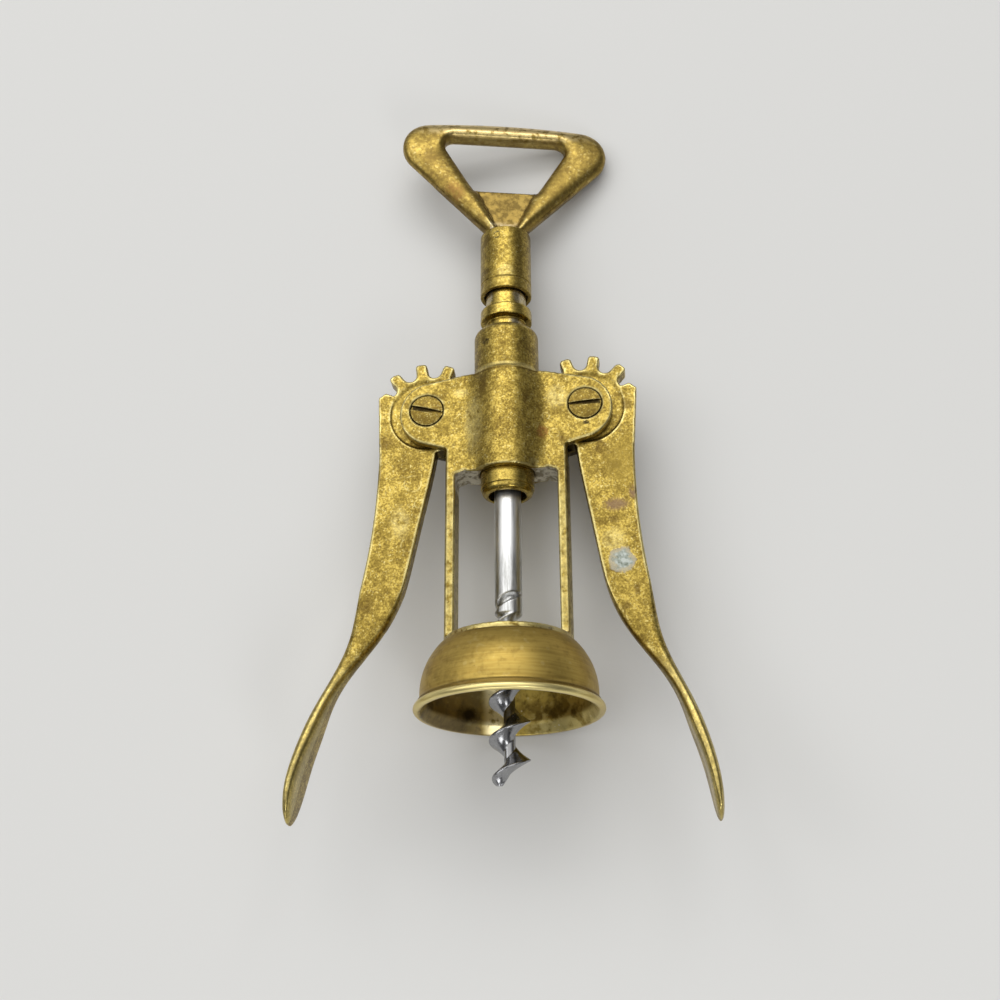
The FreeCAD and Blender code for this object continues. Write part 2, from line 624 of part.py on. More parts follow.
def make_rack_sleeve():
    """A bored sleeve with rings turned all round it, so that it works the levers at any spin."""
    body = new_body("rack_sleeve")
    section = new_sketch(body, "sleeve_section")
    bore = "spindle_radius + spindle_fit"
    bead = "rack_radius - rack_bead_step"
    draw_outline(section, [
        ("rack_mouth_radius", "rack_bottom", None),
        (bead + " - rack_bead_round", "rack_bottom", ("rack_bead_round", "left")),
        (bead, "rack_bottom + rack_bead_round", None),
        (bead, "rack_bottom + rack_bead_height", None),
        ("rack_radius", "rack_bottom + rack_bead_height", None),
        ("rack_radius", NECK_BOTTOM, None),
        ("rack_neck_radius", NECK_BOTTOM, None),
        ("rack_neck_radius", RACK_TOP, None),
        (bore, RACK_TOP, None),
        (bore, SHOULDER, None),
        ("rack_mouth_radius", SHOULDER, None),
    ])
    turn(body, section, "sleeve_turned")

    groove = new_sketch(body, "groove_section")
    middle = LOWEST_MESH + " + (tooth_count - 2) * " + RING_STEP
    slope = "(rack_groove_mouth - rack_groove_floor) / 2"
    outside = "rack_radius + " + slope
    draw_outline(groove, [
        ("rack_floor_radius", middle + " - rack_groove_floor / 2", None),
        (outside, middle + " - rack_groove_mouth / 2", None),
        (outside, middle + " + rack_groove_mouth / 2", None),
        ("rack_floor_radius", middle + " + rack_groove_floor / 2", None),
    ])
    first = turn_away(body, groove, "groove")
    grooves = body.newObject("PartDesign::LinearPattern", "grooves")
    grooves.Originals = [first]
    grooves.Direction = (groove, ["V_Axis"])
    grooves.Reversed = True
    bind(grooves, "Length", "(groove_count - 1) * " + RING_STEP)
    bind(grooves, "Occurrences", "groove_count")
    body.Tip = grooves
    DOC.recompute()
    return body


def worm_sketch(body, name):
    """A sketch on the tool's axis, turned to the side where the worm's blade starts."""
    sketch = new_sketch(body, name)
    sketch.AttachmentOffset = turned(Y_AXIS, 90)
    bind(sketch, ".AttachmentOffset.Rotation.Angle", "worm_start_angle")
    return sketch


def wind(body, kind, sketch, name, height):
    """The sketch swept up a right-handed helix of the worm's pitch."""
    helix = body.newObject("PartDesign::" + kind + "Helix", name)
    helix.Profile = sketch
    helix.ReferenceAxis = (sketch, ["V_Axis"])
    helix.Mode = "pitch-height-angle"
    bind(helix, "Pitch", "worm_pitch")
    bind(helix, "Height", height)
    DOC.recompute()


def pin_hole(body):
    hole = new_sketch(body, body.Name + "_pin_outline", "YZ_Plane")
    hole.AttachmentOffset = turned(Y_AXIS, 90)
    bind(hole, ".AttachmentOffset.Rotation.Angle", "cross_pin_angle")
    draw_circle(hole, "0", HANDLE_BOTTOM + " + cross_pin_height", "cross_pin_radius")
    cut_through(body, hole, body.Name + "_pin_hole")


def make_worm_spindle():
    """One steel rod: journal in the handle and rack, bare shank, and the cut worm below it."""
    body = new_body("worm_spindle")
    section = new_sketch(body, "rod_section")
    draw_outline(section, [
        ("0", "-1 * worm_tip", None),
        ("worm_core_radius", "-1 * worm_tip", None),
        ("worm_core_radius", "worm_top - worm_core_radius", None),
        ("shank_radius", "worm_top", None),
        ("shank_radius", SHOULDER + " - shoulder_gap", None),
        ("spindle_radius", SHOULDER + " - shoulder_gap", None),
        ("spindle_radius", SPINDLE_TOP, None),
        ("0", SPINDLE_TOP, None),
    ])
    turn(body, section, "rod_turned")

    # the blade is wide above the point and no wider than the shank where it leaves it
    for name, turns, radius, height in (
            ("wide_blade", "0", "worm_radius", "3.6 * worm_pitch"),
            ("slim_blade", "3", "shank_radius", "worm_top - worm_start - 3 * worm_pitch")):
        middle = "worm_start + " + turns + " * worm_pitch"
        blade = worm_sketch(body, name + "_section")
        draw_outline(blade, [
            ("worm_core_radius * 0.7", middle + " - worm_blade_root / 2", ("worm_hollow", "right")),
            (radius, middle + " - worm_blade_edge / 2", None),
            (radius, middle + " + worm_blade_edge / 2", ("worm_hollow", "right")),
            ("worm_core_radius * 0.7", middle + " + worm_blade_root / 2", None),
        ])
        wind(body, "Additive", blade, name, height)

    flute = worm_sketch(body, "flute_section")
    middle = "worm_start + 4.5 * worm_pitch"
    draw_outline(flute, [
        ("shank_radius - flute_depth", middle + " - flute_depth / 2", None),
        ("shank_radius + flute_depth", middle + " - 1.5 * flute_depth", None),
        ("shank_radius + flute_depth", middle + " + 1.5 * flute_depth", None),
        ("shank_radius - flute_depth", middle + " + flute_depth / 2", None),
    ])
    wind(body, "Subtractive", flute, "flute", "flute_top - worm_start - 4.5 * worm_pitch")

    # grinding leaves the point on the blade, off the tool's axis
    point = new_sketch(body, "point_section")
    draw_outline(point, [
        ("0", "-1 * worm_tip + 3.3", None),
        ("1.6", "-1 * worm_tip + 1.7", None),
        ("2.0", "-1 * worm_tip", None),
        ("2.9", "-1 * worm_tip + 1.3", None),
        ("worm_radius + 0.3", "-1 * worm_tip + 6.6", None),
        ("2 * worm_radius", "-1 * worm_tip + 6.6", None),
        ("2 * worm_radius", "-1 * worm_tip - worm_pitch", None),
        ("0", "-1 * worm_tip - worm_pitch", None),
    ])
    turn_away(body, point, "ground_point")
    pin_hole(body)
    return body


# ---------------------------------------------------------------- handle

def make_handle_barrel():
    """The turned grip between rack and opener: recessed below, bored for the spindle."""
    body = new_body("handle_barrel")
    section = new_sketch(body, "grip_section")
    scribe = HANDLE_BOTTOM + " + scribe_height"
    draw_outline(section, [
        ("0", SPINDLE_TOP, None),
        ("spindle_radius", SPINDLE_TOP, None),
        ("spindle_radius", RACK_TOP, None),
        ("handle_recess_radius", RACK_TOP, None),
        ("handle_recess_radius", HANDLE_BOTTOM, None),
        ("handle_radius", HANDLE_BOTTOM, None),
        ("handle_radius", scribe + " - scribe_width / 2", None),
        ("handle_radius - scribe_depth", scribe, None),
        ("handle_radius", scribe + " + scribe_width / 2", None),
        ("handle_radius", HANDLE_TOP, None),
        ("0", HANDLE_TOP, None),
    ])
    turn(body, section, "grip_turned")
    pin_hole(body)
    return body


def make_cross_pin():
    """The pin that holds the spindle in the barrel, filed flush at both ends."""
    pin = DOC.addObject("Part::Cylinder", "handle_cross_pin")
    pin.Label = "handle_cross_pin"
    bind(pin, "Radius", "cross_pin_radius")
    bind(pin, "Height", "2 * (handle_radius - scribe_depth)")
    return pin


def make_opener_head():
    """The cap-lifter loop: a triangular ring with round corners and a thin web at its foot."""
    body = new_body("opener_head")
    outline = new_sketch(body, "loop_outline")
    crown = "(head_corner_reach ^ 2 + head_crown_rise ^ 2) / (2 * head_crown_rise)"
    draw_outline(outline, [
        ("-1 * head_foot_half_width", HANDLE_TOP, None),
        ("head_foot_half_width", HANDLE_TOP, None),
        ("head_corner_reach", CORNER_HEIGHT, (crown, "left")),
        ("-1 * head_corner_reach", CORNER_HEIGHT, None),
    ])
    loop = pad(body, outline, "loop", "head_depth")
    half = size("head_depth") / 2
    foot = size(HANDLE_TOP)

    def runs_through(edge):
        return edge.BoundBox.YMax - edge.BoundBox.YMin > size("head_depth") * 0.9

    def is_corner(edge):
        return runs_through(edge) and edge.BoundBox.ZMin > size(MOUTH_TOP)

    def is_outer_edge(edge):
        box = edge.BoundBox
        flat = box.YMax - box.YMin < 1e-6 and abs(abs(box.YMin) - half) < 1e-6
        return flat and box.ZMax > foot + 1e-6

    shaped = rounded(body, loop, "loop_corners", "head_corner_round", is_corner)
    softened = rounded(body, shaped, "loop_edges", "head_edge_round", is_outer_edge)

    mouth = new_sketch(body, "opening_outline")
    draw_outline(mouth, [
        ("-1 * mouth_bottom_half_width", MOUTH_BOTTOM, None),
        ("mouth_bottom_half_width", MOUTH_BOTTOM, None),
        ("mouth_top_half_width", MOUTH_TOP, None),
        ("-1 * mouth_top_half_width", MOUTH_TOP, None),
    ])
    opened = cut_through(body, mouth, "opening")

    def is_mouth_corner(edge):
        box = edge.BoundBox
        level = box.ZMax - box.ZMin < 1e-6
        return runs_through(edge) and level and abs(box.ZMin - size(MOUTH_TOP)) < 1e-6

    def is_mouth_edge(edge):
        box = edge.BoundBox
        flat = box.YMax - box.YMin < 1e-6 and abs(abs(box.YMin) - half) < 1e-6
        reach = size("mouth_top_half_width") + 1e-6
        across = box.XMin > -reach and box.XMax < reach
        along = box.ZMin > size(MOUTH_BOTTOM) - 1e-6 and box.ZMax < size(MOUTH_TOP) + 1e-6
        return flat and across and along

    mouthed = rounded(body, opened, "opening_corners", "mouth_corner_round", is_mouth_corner)
    rounded(body, mouthed, "opening_edges", "mouth_edge_round", is_mouth_edge)

    for face, sign in (("front", "1"), ("back", "-1")):
        web = new_sketch(body, face + "_web_outline", offset=sign + " * head_depth / 2")
        draw_outline(web, [
            ("-1 * web_foot_half_width", HANDLE_TOP + " + web_foot_height", None),
            ("web_foot_half_width", HANDLE_TOP + " + web_foot_height", None),
            ("mouth_bottom_half_width", MOUTH_BOTTOM + " + mouth_edge_round", None),
            ("-1 * mouth_bottom_half_width", MOUTH_BOTTOM + " + mouth_edge_round", None),
        ])
        cut_to_depth(body, web, face + "_web", "head_depth - web_depth")

    boss = new_sketch(body, "boss_section")
    draw_outline(boss, [
        ("0", HANDLE_TOP, None),
        ("handle_radius - scribe_depth", HANDLE_TOP, None),
        ("handle_radius - head_boss_slope", HANDLE_TOP + " + head_boss_height", None),
        ("0", HANDLE_TOP + " + head_boss_height", None),
    ])
    turn(body, boss, "boss")
    return body


# ---------------------------------------------------------------- build and place

BELL = make_bell()
FRAME = make_frame_casting()
LEFT_SCREW = make_pivot_screw("left_pivot_screw")
RIGHT_SCREW = make_pivot_screw("right_pivot_screw")
LEFT_LEVER = make_lever("left_lever")
RIGHT_LEVER = make_lever("right_lever")
RACK = make_rack_sleeve()
SPINDLE = make_worm_spindle()
BARREL = make_handle_barrel()
PIN = make_cross_pin()
HEAD = make_opener_head()
PIECES = [BELL, FRAME, LEFT_SCREW, RIGHT_SCREW, LEFT_LEVER, RIGHT_LEVER,
          RACK, SPINDLE, BARREL, PIN, HEAD]
DOC.recompute()

SPREAD, HEIGHT = size("pivot_spread"), size("pivot_height")
FRONT = -size("casting_depth") / 2 + size("screw_head_height")
SPIN = turned(Z_AXIS, size("handle_spin_angle"))
DROOP = size("lever_droop_angle")
PIN_HALF = size("handle_radius - scribe_depth")
PIN_HEIGHT = size(HANDLE_BOTTOM + " + cross_pin_height")

# where each piece stands in the tool's frame
IN_TOOL = {piece.Name: FreeCAD.Placement() for piece in PIECES}
head_up = turned(X_AXIS, 90)
IN_TOOL["left_pivot_screw"] = (
    moved(-SPREAD, FRONT, HEIGHT) * head_up * turned(Z_AXIS, 90 + size("left_slot_angle")))
IN_TOOL["right_pivot_screw"] = (
    moved(SPREAD, FRONT, HEIGHT) * head_up * turned(Z_AXIS, 90 + size("right_slot_angle")))
IN_TOOL["right_lever"] = moved(SPREAD, 0, HEIGHT) * turned(Y_AXIS, DROOP)
IN_TOOL["left_lever"] = (
    moved(-SPREAD, 0, HEIGHT) * turned(Y_AXIS, DROOP) * turned(Z_AXIS, 180))
IN_TOOL["worm_spindle"] = SPIN
IN_TOOL["handle_barrel"] = SPIN
IN_TOOL["opener_head"] = SPIN
IN_TOOL["handle_cross_pin"] = (
    SPIN * turned(Z_AXIS, size("cross_pin_angle")) * moved(-PIN_HALF, 0, PIN_HEIGHT)
    * turned(Y_AXIS, 90))

# Lying down: the tool's axis falls towards the handle until the bell's lip and the lower side
# of the turned loop are level. The loop's lowest point is its corner on the far side.
LIP_HEIGHT = size("bell_lip_height / 2")
LOOP_DROP = (size("head_half_width") * math.sin(math.radians(abs(size("handle_spin_angle"))))
             + size("head_depth / 2 - 0.3 * head_edge_round"))
LOOP_HEIGHT = size(HANDLE_TOP + " + head_side_rise")
LEAN = math.degrees(math.atan2(size("bell_mouth_radius") - LOOP_DROP, LOOP_HEIGHT - LIP_HEIGHT))
LYING = turned(X_AXIS, -90 - LEAN)


def all_points(placement):
    """Points on every piece, as it would stand under the placement."""
    points = []
    for piece in PIECES:
        shape = piece.Shape.copy()
        shape.Placement = placement * IN_TOOL[piece.Name]
        points += shape.tessellate(0.02)[0]
    return points


CLOUD = all_points(LYING)
LOW = FreeCAD.Vector(min(p.x for p in CLOUD), min(p.y for p in CLOUD), min(p.z for p in CLOUD))
HIGH = FreeCAD.Vector(max(p.x for p in CLOUD), max(p.y for p in CLOUD), max(p.z for p in CLOUD))
REST = moved(-(LOW.x + HIGH.x) / 2, -(LOW.y + HIGH.y) / 2, -LOW.z) * LYING

for piece in PIECES:
    piece.Placement = REST * IN_TOOL[piece.Name]
DOC.recompute()

for thing in DOC.Objects:
    if "Invalid" in thing.State or "Error" in thing.State:
        raise ValueError(thing.Name + " failed: " + ", ".join(thing.State))
os.makedirs("parts", exist_ok=True)
for piece in PIECES:
    if piece.Shape.isNull() or not piece.Shape.isValid():
        raise ValueError(piece.Label + " has no valid shape")
for piece in PIECES:
    piece.Shape.exportStep(os.path.join("parts", piece.Label + ".step"))
    print(piece.Label, "solids", len(piece.Shape.Solids), "volume", round(piece.Shape.Volume, 1))
print("overall", [round(v, 2) for v in (HIGH - LOW)], "lean", round(LEAN, 3))
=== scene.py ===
import json
import math

import bmesh
import bpy
import numpy as np
from mathutils import Euler, Matrix, Vector


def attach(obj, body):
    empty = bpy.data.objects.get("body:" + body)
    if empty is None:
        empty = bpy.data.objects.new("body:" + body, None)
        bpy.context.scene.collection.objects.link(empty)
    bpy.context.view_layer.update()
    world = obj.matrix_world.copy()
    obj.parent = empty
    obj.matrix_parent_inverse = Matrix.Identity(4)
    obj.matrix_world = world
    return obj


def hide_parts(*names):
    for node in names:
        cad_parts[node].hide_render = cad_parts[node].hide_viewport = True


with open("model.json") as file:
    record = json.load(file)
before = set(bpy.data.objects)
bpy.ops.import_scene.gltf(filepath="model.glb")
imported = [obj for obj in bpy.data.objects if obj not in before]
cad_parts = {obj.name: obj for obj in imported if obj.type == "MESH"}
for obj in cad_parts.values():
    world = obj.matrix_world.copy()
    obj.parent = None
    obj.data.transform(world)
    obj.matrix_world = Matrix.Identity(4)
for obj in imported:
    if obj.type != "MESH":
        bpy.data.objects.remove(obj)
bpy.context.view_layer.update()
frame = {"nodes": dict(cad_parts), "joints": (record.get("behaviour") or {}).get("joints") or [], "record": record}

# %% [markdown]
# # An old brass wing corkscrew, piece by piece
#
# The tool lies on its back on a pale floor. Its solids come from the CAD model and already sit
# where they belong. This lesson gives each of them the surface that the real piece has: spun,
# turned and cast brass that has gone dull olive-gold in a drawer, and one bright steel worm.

NODES = frame["nodes"]

# %% [markdown]
# ## The tool's own frame
#
# Everything on a corkscrew is measured along its axis, but the tool lies slightly nose-up: on
# the lip of its bell and on its loop. So the lesson works in the tool's frame, in millimetres,
# with Z up the axis from the mouth of the bell and the screw heads facing -Y. The CAD record says
# where that axis is: the spindle's joint lies on it, and the rim of the bell closes it.

# %% From the tool's frame to the floor
MILLIMETRE = 0.001
RECORD = frame["record"]
JOINTS = {joint["name"]: joint for joint in frame["joints"]}
RIM = RECORD["mounts"][0]
BODIES = RECORD["behaviour"]["bodies"]
axis_z = Vector(JOINTS["spindle_spin"]["axis"]).normalized()
axis_x = Vector((1.0, 0.0, 0.0))
axis_y = axis_z.cross(axis_x)
on_axis = Vector(JOINTS["spindle_spin"]["pos_m"])
MOUTH = on_axis + axis_z * (Vector(RIM["pos_m"]) - on_axis).dot(axis_z)
TURN = Matrix((axis_x, axis_y, axis_z)).transposed()
TO_ROW = Matrix.Translation(MOUTH) @ TURN.to_4x4() @ Matrix.Scale(MILLIMETRE, 4)
right_pivot = TO_ROW.inverted() @ Vector(JOINTS["right_lever_swing"]["pos_m"])
PIVOT_OUT, PIVOT_UP = round(right_pivot.x, 2), round(right_pivot.z, 2)
HANDLE_SPIN = math.radians(11.5)
print("axis lies", round(math.degrees(math.asin(-axis_z.z)), 2), "degrees below level")
print("levers turn", PIVOT_OUT, "mm beside it and", PIVOT_UP, "mm above the bell's mouth")

# %% [markdown]
# ## Camera
#
# The camera is held over the tool with a moderate lens, close enough that the bell, which is
# nearer, looks larger than the loop. Its place is in metres and its three turns are in degrees.
# They were found by fitting the ends of the rings and the pivots.

# %% The camera
CAMERA_PLACE = (0.027495, -0.108926, 0.307746)
CAMERA_TURNS = (17.8023, 5.6506, -0.8450)
camera_data = bpy.data.cameras.new("camera")
camera_data.lens = 50.4
camera_data.sensor_width = 36.0
camera_data.clip_start = 0.01
camera = bpy.data.objects.new("camera", camera_data)
camera.location = CAMERA_PLACE
camera.rotation_euler = Euler([math.radians(turn) for turn in CAMERA_TURNS])
bpy.context.scene.collection.objects.link(camera)
bpy.context.scene.camera = camera
bpy.context.scene.view_settings.view_transform = "Standard"
print("camera", round(camera.location.length, 3), "m from the middle of the tool")


# %% [markdown]
# ## Arithmetic on sockets
#
# Node trees are formulas. Wrapping a socket in a small class lets Python write them as
# formulas: `1 - mask` adds a Math node and gives back its output. Shader trees and geometry
# trees take the same Math nodes, so one class serves both.

# %% A socket that can be added, multiplied and compared
def math_node(operation, reflected=False):
    """A method that adds one Math node. Where it is reflected, its own value comes last."""
    def method(self, *others):
        values = (*others, self) if reflected else (self, *others)
        node = self.tree.nodes.new("ShaderNodeMath")
        node.operation = operation
        for socket, value in zip(node.inputs, values):
            feed(self.tree, socket, value)
        return Value(self.tree, node.outputs[0])
    return method


class Value:
    def __init__(self, tree, socket):
        self.tree, self.socket = tree, socket

    __add__ = __radd__ = math_node("ADD")
    __mul__ = __rmul__ = math_node("MULTIPLY")
    __sub__ = math_node("SUBTRACT")
    __rsub__ = math_node("SUBTRACT", reflected=True)
    __truediv__ = math_node("DIVIDE")
    __rtruediv__ = math_node("DIVIDE", reflected=True)
    __pow__ = math_node("POWER")
    __lt__ = math_node("LESS_THAN")
    __gt__ = math_node("GREATER_THAN")
    __abs__ = math_node("ABSOLUTE")
    at_least = math_node("MAXIMUM")
    at_most = math_node("MINIMUM")
    sqrt = math_node("SQRT")
    sin = math_node("SINE")
    cos = math_node("COSINE")
    floor = math_node("FLOOR")
    wrap = math_node("WRAP")

    def ramp(self, low, high):
        """0 up to low, 1 from high on, and a soft S between; low may be the larger one."""
        share = ((self - low) / (high - low)).at_least(0.0).at_most(1.0)
        return share * share * (3.0 - 2.0 * share)


def feed(tree, socket, value):
    if isinstance(value, Value):
        tree.links.new(value.socket, socket)
    else:
        socket.default_value = value


def add_node(tree, kind, settings=None, inputs=None, output=0):
    """One node: its settings first, then its sockets, by name or number."""
    node = tree.nodes.new(kind)
    for name, value in (settings or {}).items():
        setattr(node, name, value)
    for key, value in (inputs or {}).items():
        feed(tree, node.inputs[key], value)
    return Value(tree, node.outputs[output])


def parts(tree, vector):
    """The three numbers of a vector."""
    node = tree.nodes.new("ShaderNodeSeparateXYZ")
    feed(tree, node.inputs[0], vector)
    return [Value(tree, out) for out in node.outputs]


def mixed(tree, factor, first, second):
    """A colour between two others."""
    node = tree.nodes.new("ShaderNodeMix")
    node.data_type = "RGBA"
    feed(tree, node.inputs[0], factor)
    feed(tree, node.inputs[6], first)
    feed(tree, node.inputs[7], second)
    return Value(tree, node.outputs[2])


def painted(tree, color, *coats):
    """The colour under these coats, laid on in order. Each coat is a mask and a tint."""
    for mask, tint in coats:
        color = mixed(tree, mask, color, tint)
    return color


def distance(first, second):
    return (first * first + second * second).sqrt()


print("socket arithmetic is ready")


# %% [markdown]
# ## Floor and light
#
# Metal shows what stands round it more than its own colour. A sky that is bright overhead and
# dim at the horizon gives round metal a bright crest and dark flanks. A wide window behind the
# loop adds the long sheens, and three small lamps light the lever, the bell and its lip. The floor
# is plain and pale and carries the shadow.

# %% The floor
FLOOR_GREY = (0.68, 0.68, 0.67, 1.0)
FLOOR_SIZE = 4.0
FLOOR_DROP = 0.0002


def floor_material():
    material = bpy.data.materials.new("pale floor")
    material.use_nodes = True
    shader = material.node_tree.nodes["Principled BSDF"]
    shader.inputs["Base Color"].default_value = FLOOR_GREY
    shader.inputs["Roughness"].default_value = 0.9
    return material


bpy.ops.mesh.primitive_plane_add(size=FLOOR_SIZE, location=(0.0, 0.0, -FLOOR_DROP))
floor = bpy.context.object
floor.name = "floor"
floor.data.materials.append(floor_material())
print("floor laid")


# %% The sky and the lamps
MIDDLE_OF_TOOL = (0.0, 0.0, 0.01)
MIDDLE_OF_BELL = (0.0, -0.06, 0.01)
BRIGHT_POLE = (-0.20, 0.30, 0.93)
HORIZON, ZENITH = (0.15, 0.15, 0.155, 1.0), (1.34, 1.33, 1.30, 1.0)


def softbox(name, place, size, power, aim):
    """A soft lamp: its place and size in metres, its power in watts, the point it shines at."""
    lamp = bpy.data.lights.new(name, "AREA")
    lamp.shape = "RECTANGLE"
    lamp.size, lamp.size_y = size
    lamp.energy = power
    lamp_object = bpy.data.objects.new(name, lamp)
    lamp_object.location = place
    away = Vector(place) - Vector(aim)
    lamp_object.rotation_euler = away.to_track_quat("Z", "Y").to_euler()
    bpy.context.scene.collection.objects.link(lamp_object)


def sky():
    world = bpy.data.worlds.new("studio")
    world.use_nodes = True
    tree = world.node_tree
    toward = add_node(tree, "ShaderNodeVectorMath", {"operation": "DOT_PRODUCT"}, {
        0: add_node(tree, "ShaderNodeTexCoord", output=0),
        1: Vector(BRIGHT_POLE).normalized()}, output=1)
    tint = mixed(tree, toward.ramp(0.42, 0.93), HORIZON, ZENITH)
    feed(tree, tree.nodes["Background"].inputs["Color"], tint)
    return world


bpy.context.scene.world = sky()
softbox("window", (-0.04, 0.54, 0.62), (0.80, 0.26), 1.7, MIDDLE_OF_TOOL)
softbox("side lamp", (-0.55, 0.05, 0.50), (0.25, 0.25), 0.35, MIDDLE_OF_TOOL)
softbox("front lamp", (0.19, -0.50, 0.38), (0.16, 0.20), 0.50, MIDDLE_OF_BELL)
softbox("low lamp", (-0.10, -0.62, 0.16), (0.24, 0.12), 0.45, MIDDLE_OF_BELL)
print("a bright sky, a window and three small lamps")

# %% [markdown]
# ## What old brass looks like
#
# Brass that nobody polishes turns olive, then brown, but it never does so evenly. Fingers keep
# the edges and the crowns of the castings light, and dirt stays in the pits. So the finish is
# built from four layers: large clouds of tarnish, fine grain, dark pits with a few light specks,
# and wear, which the shape itself gives. The shape's hollows are also darkened with painted
# shade. Each vertex carries a number called edge: above zero on an outside edge and below zero
# in a hollow.

# %% Where a point is on the tool, and noise to measure
def on_tool(tree):
    """The point in the tool's frame, in millimetres."""
    place = add_node(tree, "ShaderNodeTexCoord", output=3)
    return add_node(tree, "ShaderNodeMapping", {"vector_type": "TEXTURE"}, {
        "Vector": place, "Location": MOUTH, "Rotation": TURN.to_euler(),
        "Scale": (MILLIMETRE,) * 3})


def edge_number(tree):
    return add_node(tree, "ShaderNodeAttribute", {"attribute_name": "edge"}, output=2)


def stretched(tree, place, scale):
    return add_node(tree, "ShaderNodeVectorMath", {"operation": "MULTIPLY"}, {0: place, 1: scale})


def clouds(tree, place, width, detail=3.0, rough=0.55, seed=0.0):
    """Soft noise from about 0.25 to 0.75 whose clouds are width millimetres across."""
    return add_node(tree, "ShaderNodeTexNoise", {"noise_dimensions": "4D"}, {
        "Vector": place, "W": seed, "Scale": 1.0 / width, "Detail": detail, "Roughness": rough})


def specks(tree, place, spacing, share, size):
    """1 inside round specks up to size millimetres in radius, in that share of the cells."""
    node = tree.nodes.new("ShaderNodeTexVoronoi")
    feed(tree, node.inputs["Vector"], place)
    feed(tree, node.inputs["Scale"], 1.0 / spacing)
    chance, width, _ = parts(tree, Value(tree, node.outputs[1]))
    away = Value(tree, node.outputs[0]) * spacing
    return (width * size - away).ramp(-0.04, 0.08) * (chance < share)


print("noise is measured in millimetres")


# %% Blots and rings at known places
FRONT = 0.5


def blot(tree, place, cloud, x, z, across, up, edge=0.38, wobble=1.9, front=True):
    """1 inside an oval on the front, 0 outside, with a ragged rim."""
    px, py, pz = parts(tree, place)
    reach = distance((px - x) / across, (pz - z) / up) + (cloud - 0.5) * wobble
    mask = reach.ramp(1.0 + edge, 1.0 - edge)
    return mask * (py < FRONT) if front else mask


def ring(tree, place, cloud, x, z, radius, width):
    """1 on a thin dried ring on the front, 0 off it, broken where the cloud is thin."""
    px, py, pz = parts(tree, place)
    wobble = 0.12 * radius
    off = abs(distance(px - x, pz - z) - radius + (cloud - 0.5) * wobble)
    return off.ramp(width, width * 0.3) * (py < FRONT) * cloud.ramp(0.38, 0.56)


print("marks can be placed")

# %% The colours of the metal and of what grows on it
GOLD = (0.48, 0.350, 0.078, 1.0)
PALE = (0.66, 0.560, 0.235, 1.0)
OLIVE = (0.238, 0.168, 0.034, 1.0)
BROWN = (0.088, 0.052, 0.013, 1.0)
SOOT = (0.030, 0.022, 0.012, 1.0)
RED = (0.20, 0.080, 0.024, 1.0)
PURPLE = (0.15, 0.092, 0.060, 1.0)
TIN = (0.55, 0.51, 0.42, 1.0)
VERDIGRIS = (0.34, 0.39, 0.35, 1.0)
print("nine tones, from bright metal to dirt and salt")


# %% The layers of tarnish
def aged(name, tarnish=0.5, cloud_size=5.0, grain=0.5, pit_share=0.25, pit_size=0.22,
         rough=0.38, relief=1.0, wear=1.0, marks=(), more=None, seed=0.0):
    """Brass whose tarnish goes from 0, bright, to 1, brown. Sizes are in millimetres; marks and
    what the function more paints are laid over it."""
    material = bpy.data.materials.new(name)
    material.use_nodes = True
    tree = material.node_tree
    shader = tree.nodes["Principled BSDF"]
    place = on_tool(tree)
    broad = clouds(tree, place, cloud_size, 3.0, 0.6, seed)
    middle = clouds(tree, place, cloud_size * 0.28, 4.0, 0.6, seed + 3.0)
    fine = clouds(tree, place, grain, 2.0, 0.6, seed + 7.0)
    edge = edge_number(tree)

    tone = broad * 0.27 + middle * 0.29 + fine * 0.44 - (tarnish - 0.5) * 0.30
    glint = clouds(tree, place, grain * 0.9, 1.0, 0.5, seed + 13.0).ramp(0.58, 0.70)
    drops = specks(tree, place, 1.7, pit_share * 1.2, 0.55)
    drop_rims = drops * (1.0 - drops) * 4.0
    pits = specks(tree, place, 1.05, pit_share, pit_size)
    dots = specks(tree, stretched(tree, place, (1.0, 1.0, 0.9)), 1.3, pit_share, 0.17)
    worn = (edge * wear + (middle - 0.5) * 0.9).ramp(0.15, 0.70)
    # Painted shade: the hollows of the shape are darkened in colour, where shade would fall.
    hollow_shade = (edge * -1.0).ramp(0.10, 0.75)
    color = painted(
        tree, mixed(tree, tone.ramp(0.435, 0.565), OLIVE, GOLD),
        (tone.ramp(0.455, 0.36) * 0.6, BROWN), (glint * middle.ramp(0.42, 0.58) * 0.6, PALE),
        (drop_rims * 0.30, PALE), (pits * 0.7, BROWN), (dots * 0.6, PALE),
        (worn * 0.85, PALE), (hollow_shade * 0.8, BROWN))
    coarse = rough + (0.5 - tone) * 0.35 - worn * 0.10 + hollow_shade * 0.15
    metal = 1.0
    scar = pits
    for kind, *where in marks:
        color, metal, coarse, scar = MARKS[kind](
            tree, place, middle, where, color, metal, coarse, scar)
    if more:
        color, coarse = more(tree, place, middle, color, coarse)

    feed(tree, shader.inputs["Base Color"], color)
    feed(tree, shader.inputs["Metallic"], metal)
    feed(tree, shader.inputs["Roughness"], coarse.at_least(0.18).at_most(0.85))
    height = fine * 0.35 + middle * 0.5 - scar * 0.6
    normal = add_node(tree, "ShaderNodeBump", inputs={
        "Strength": 0.55, "Distance": 0.11 * MILLIMETRE * relief, "Height": height})
    feed(tree, shader.inputs["Normal"], normal)
    print(name, "has", len(tree.nodes), "nodes")
    return material


print("the layers are ready")


# %% [markdown]
# ## Marks of a long life
#
# Drops dry to pale rings, wine and salt leave brown or purple blots, and one drop on the right
# lever has grown a crust of verdigris, the grey-green salt of copper. A crust isn't metal any
# more, so it also loses its shine. Each kind of mark is one small function, and a piece lists
# the marks that it carries: the kind, x and z of the middle, then half the width and half the
# height of an oval, or the radius and the width of a ring, all in millimetres on the tool.

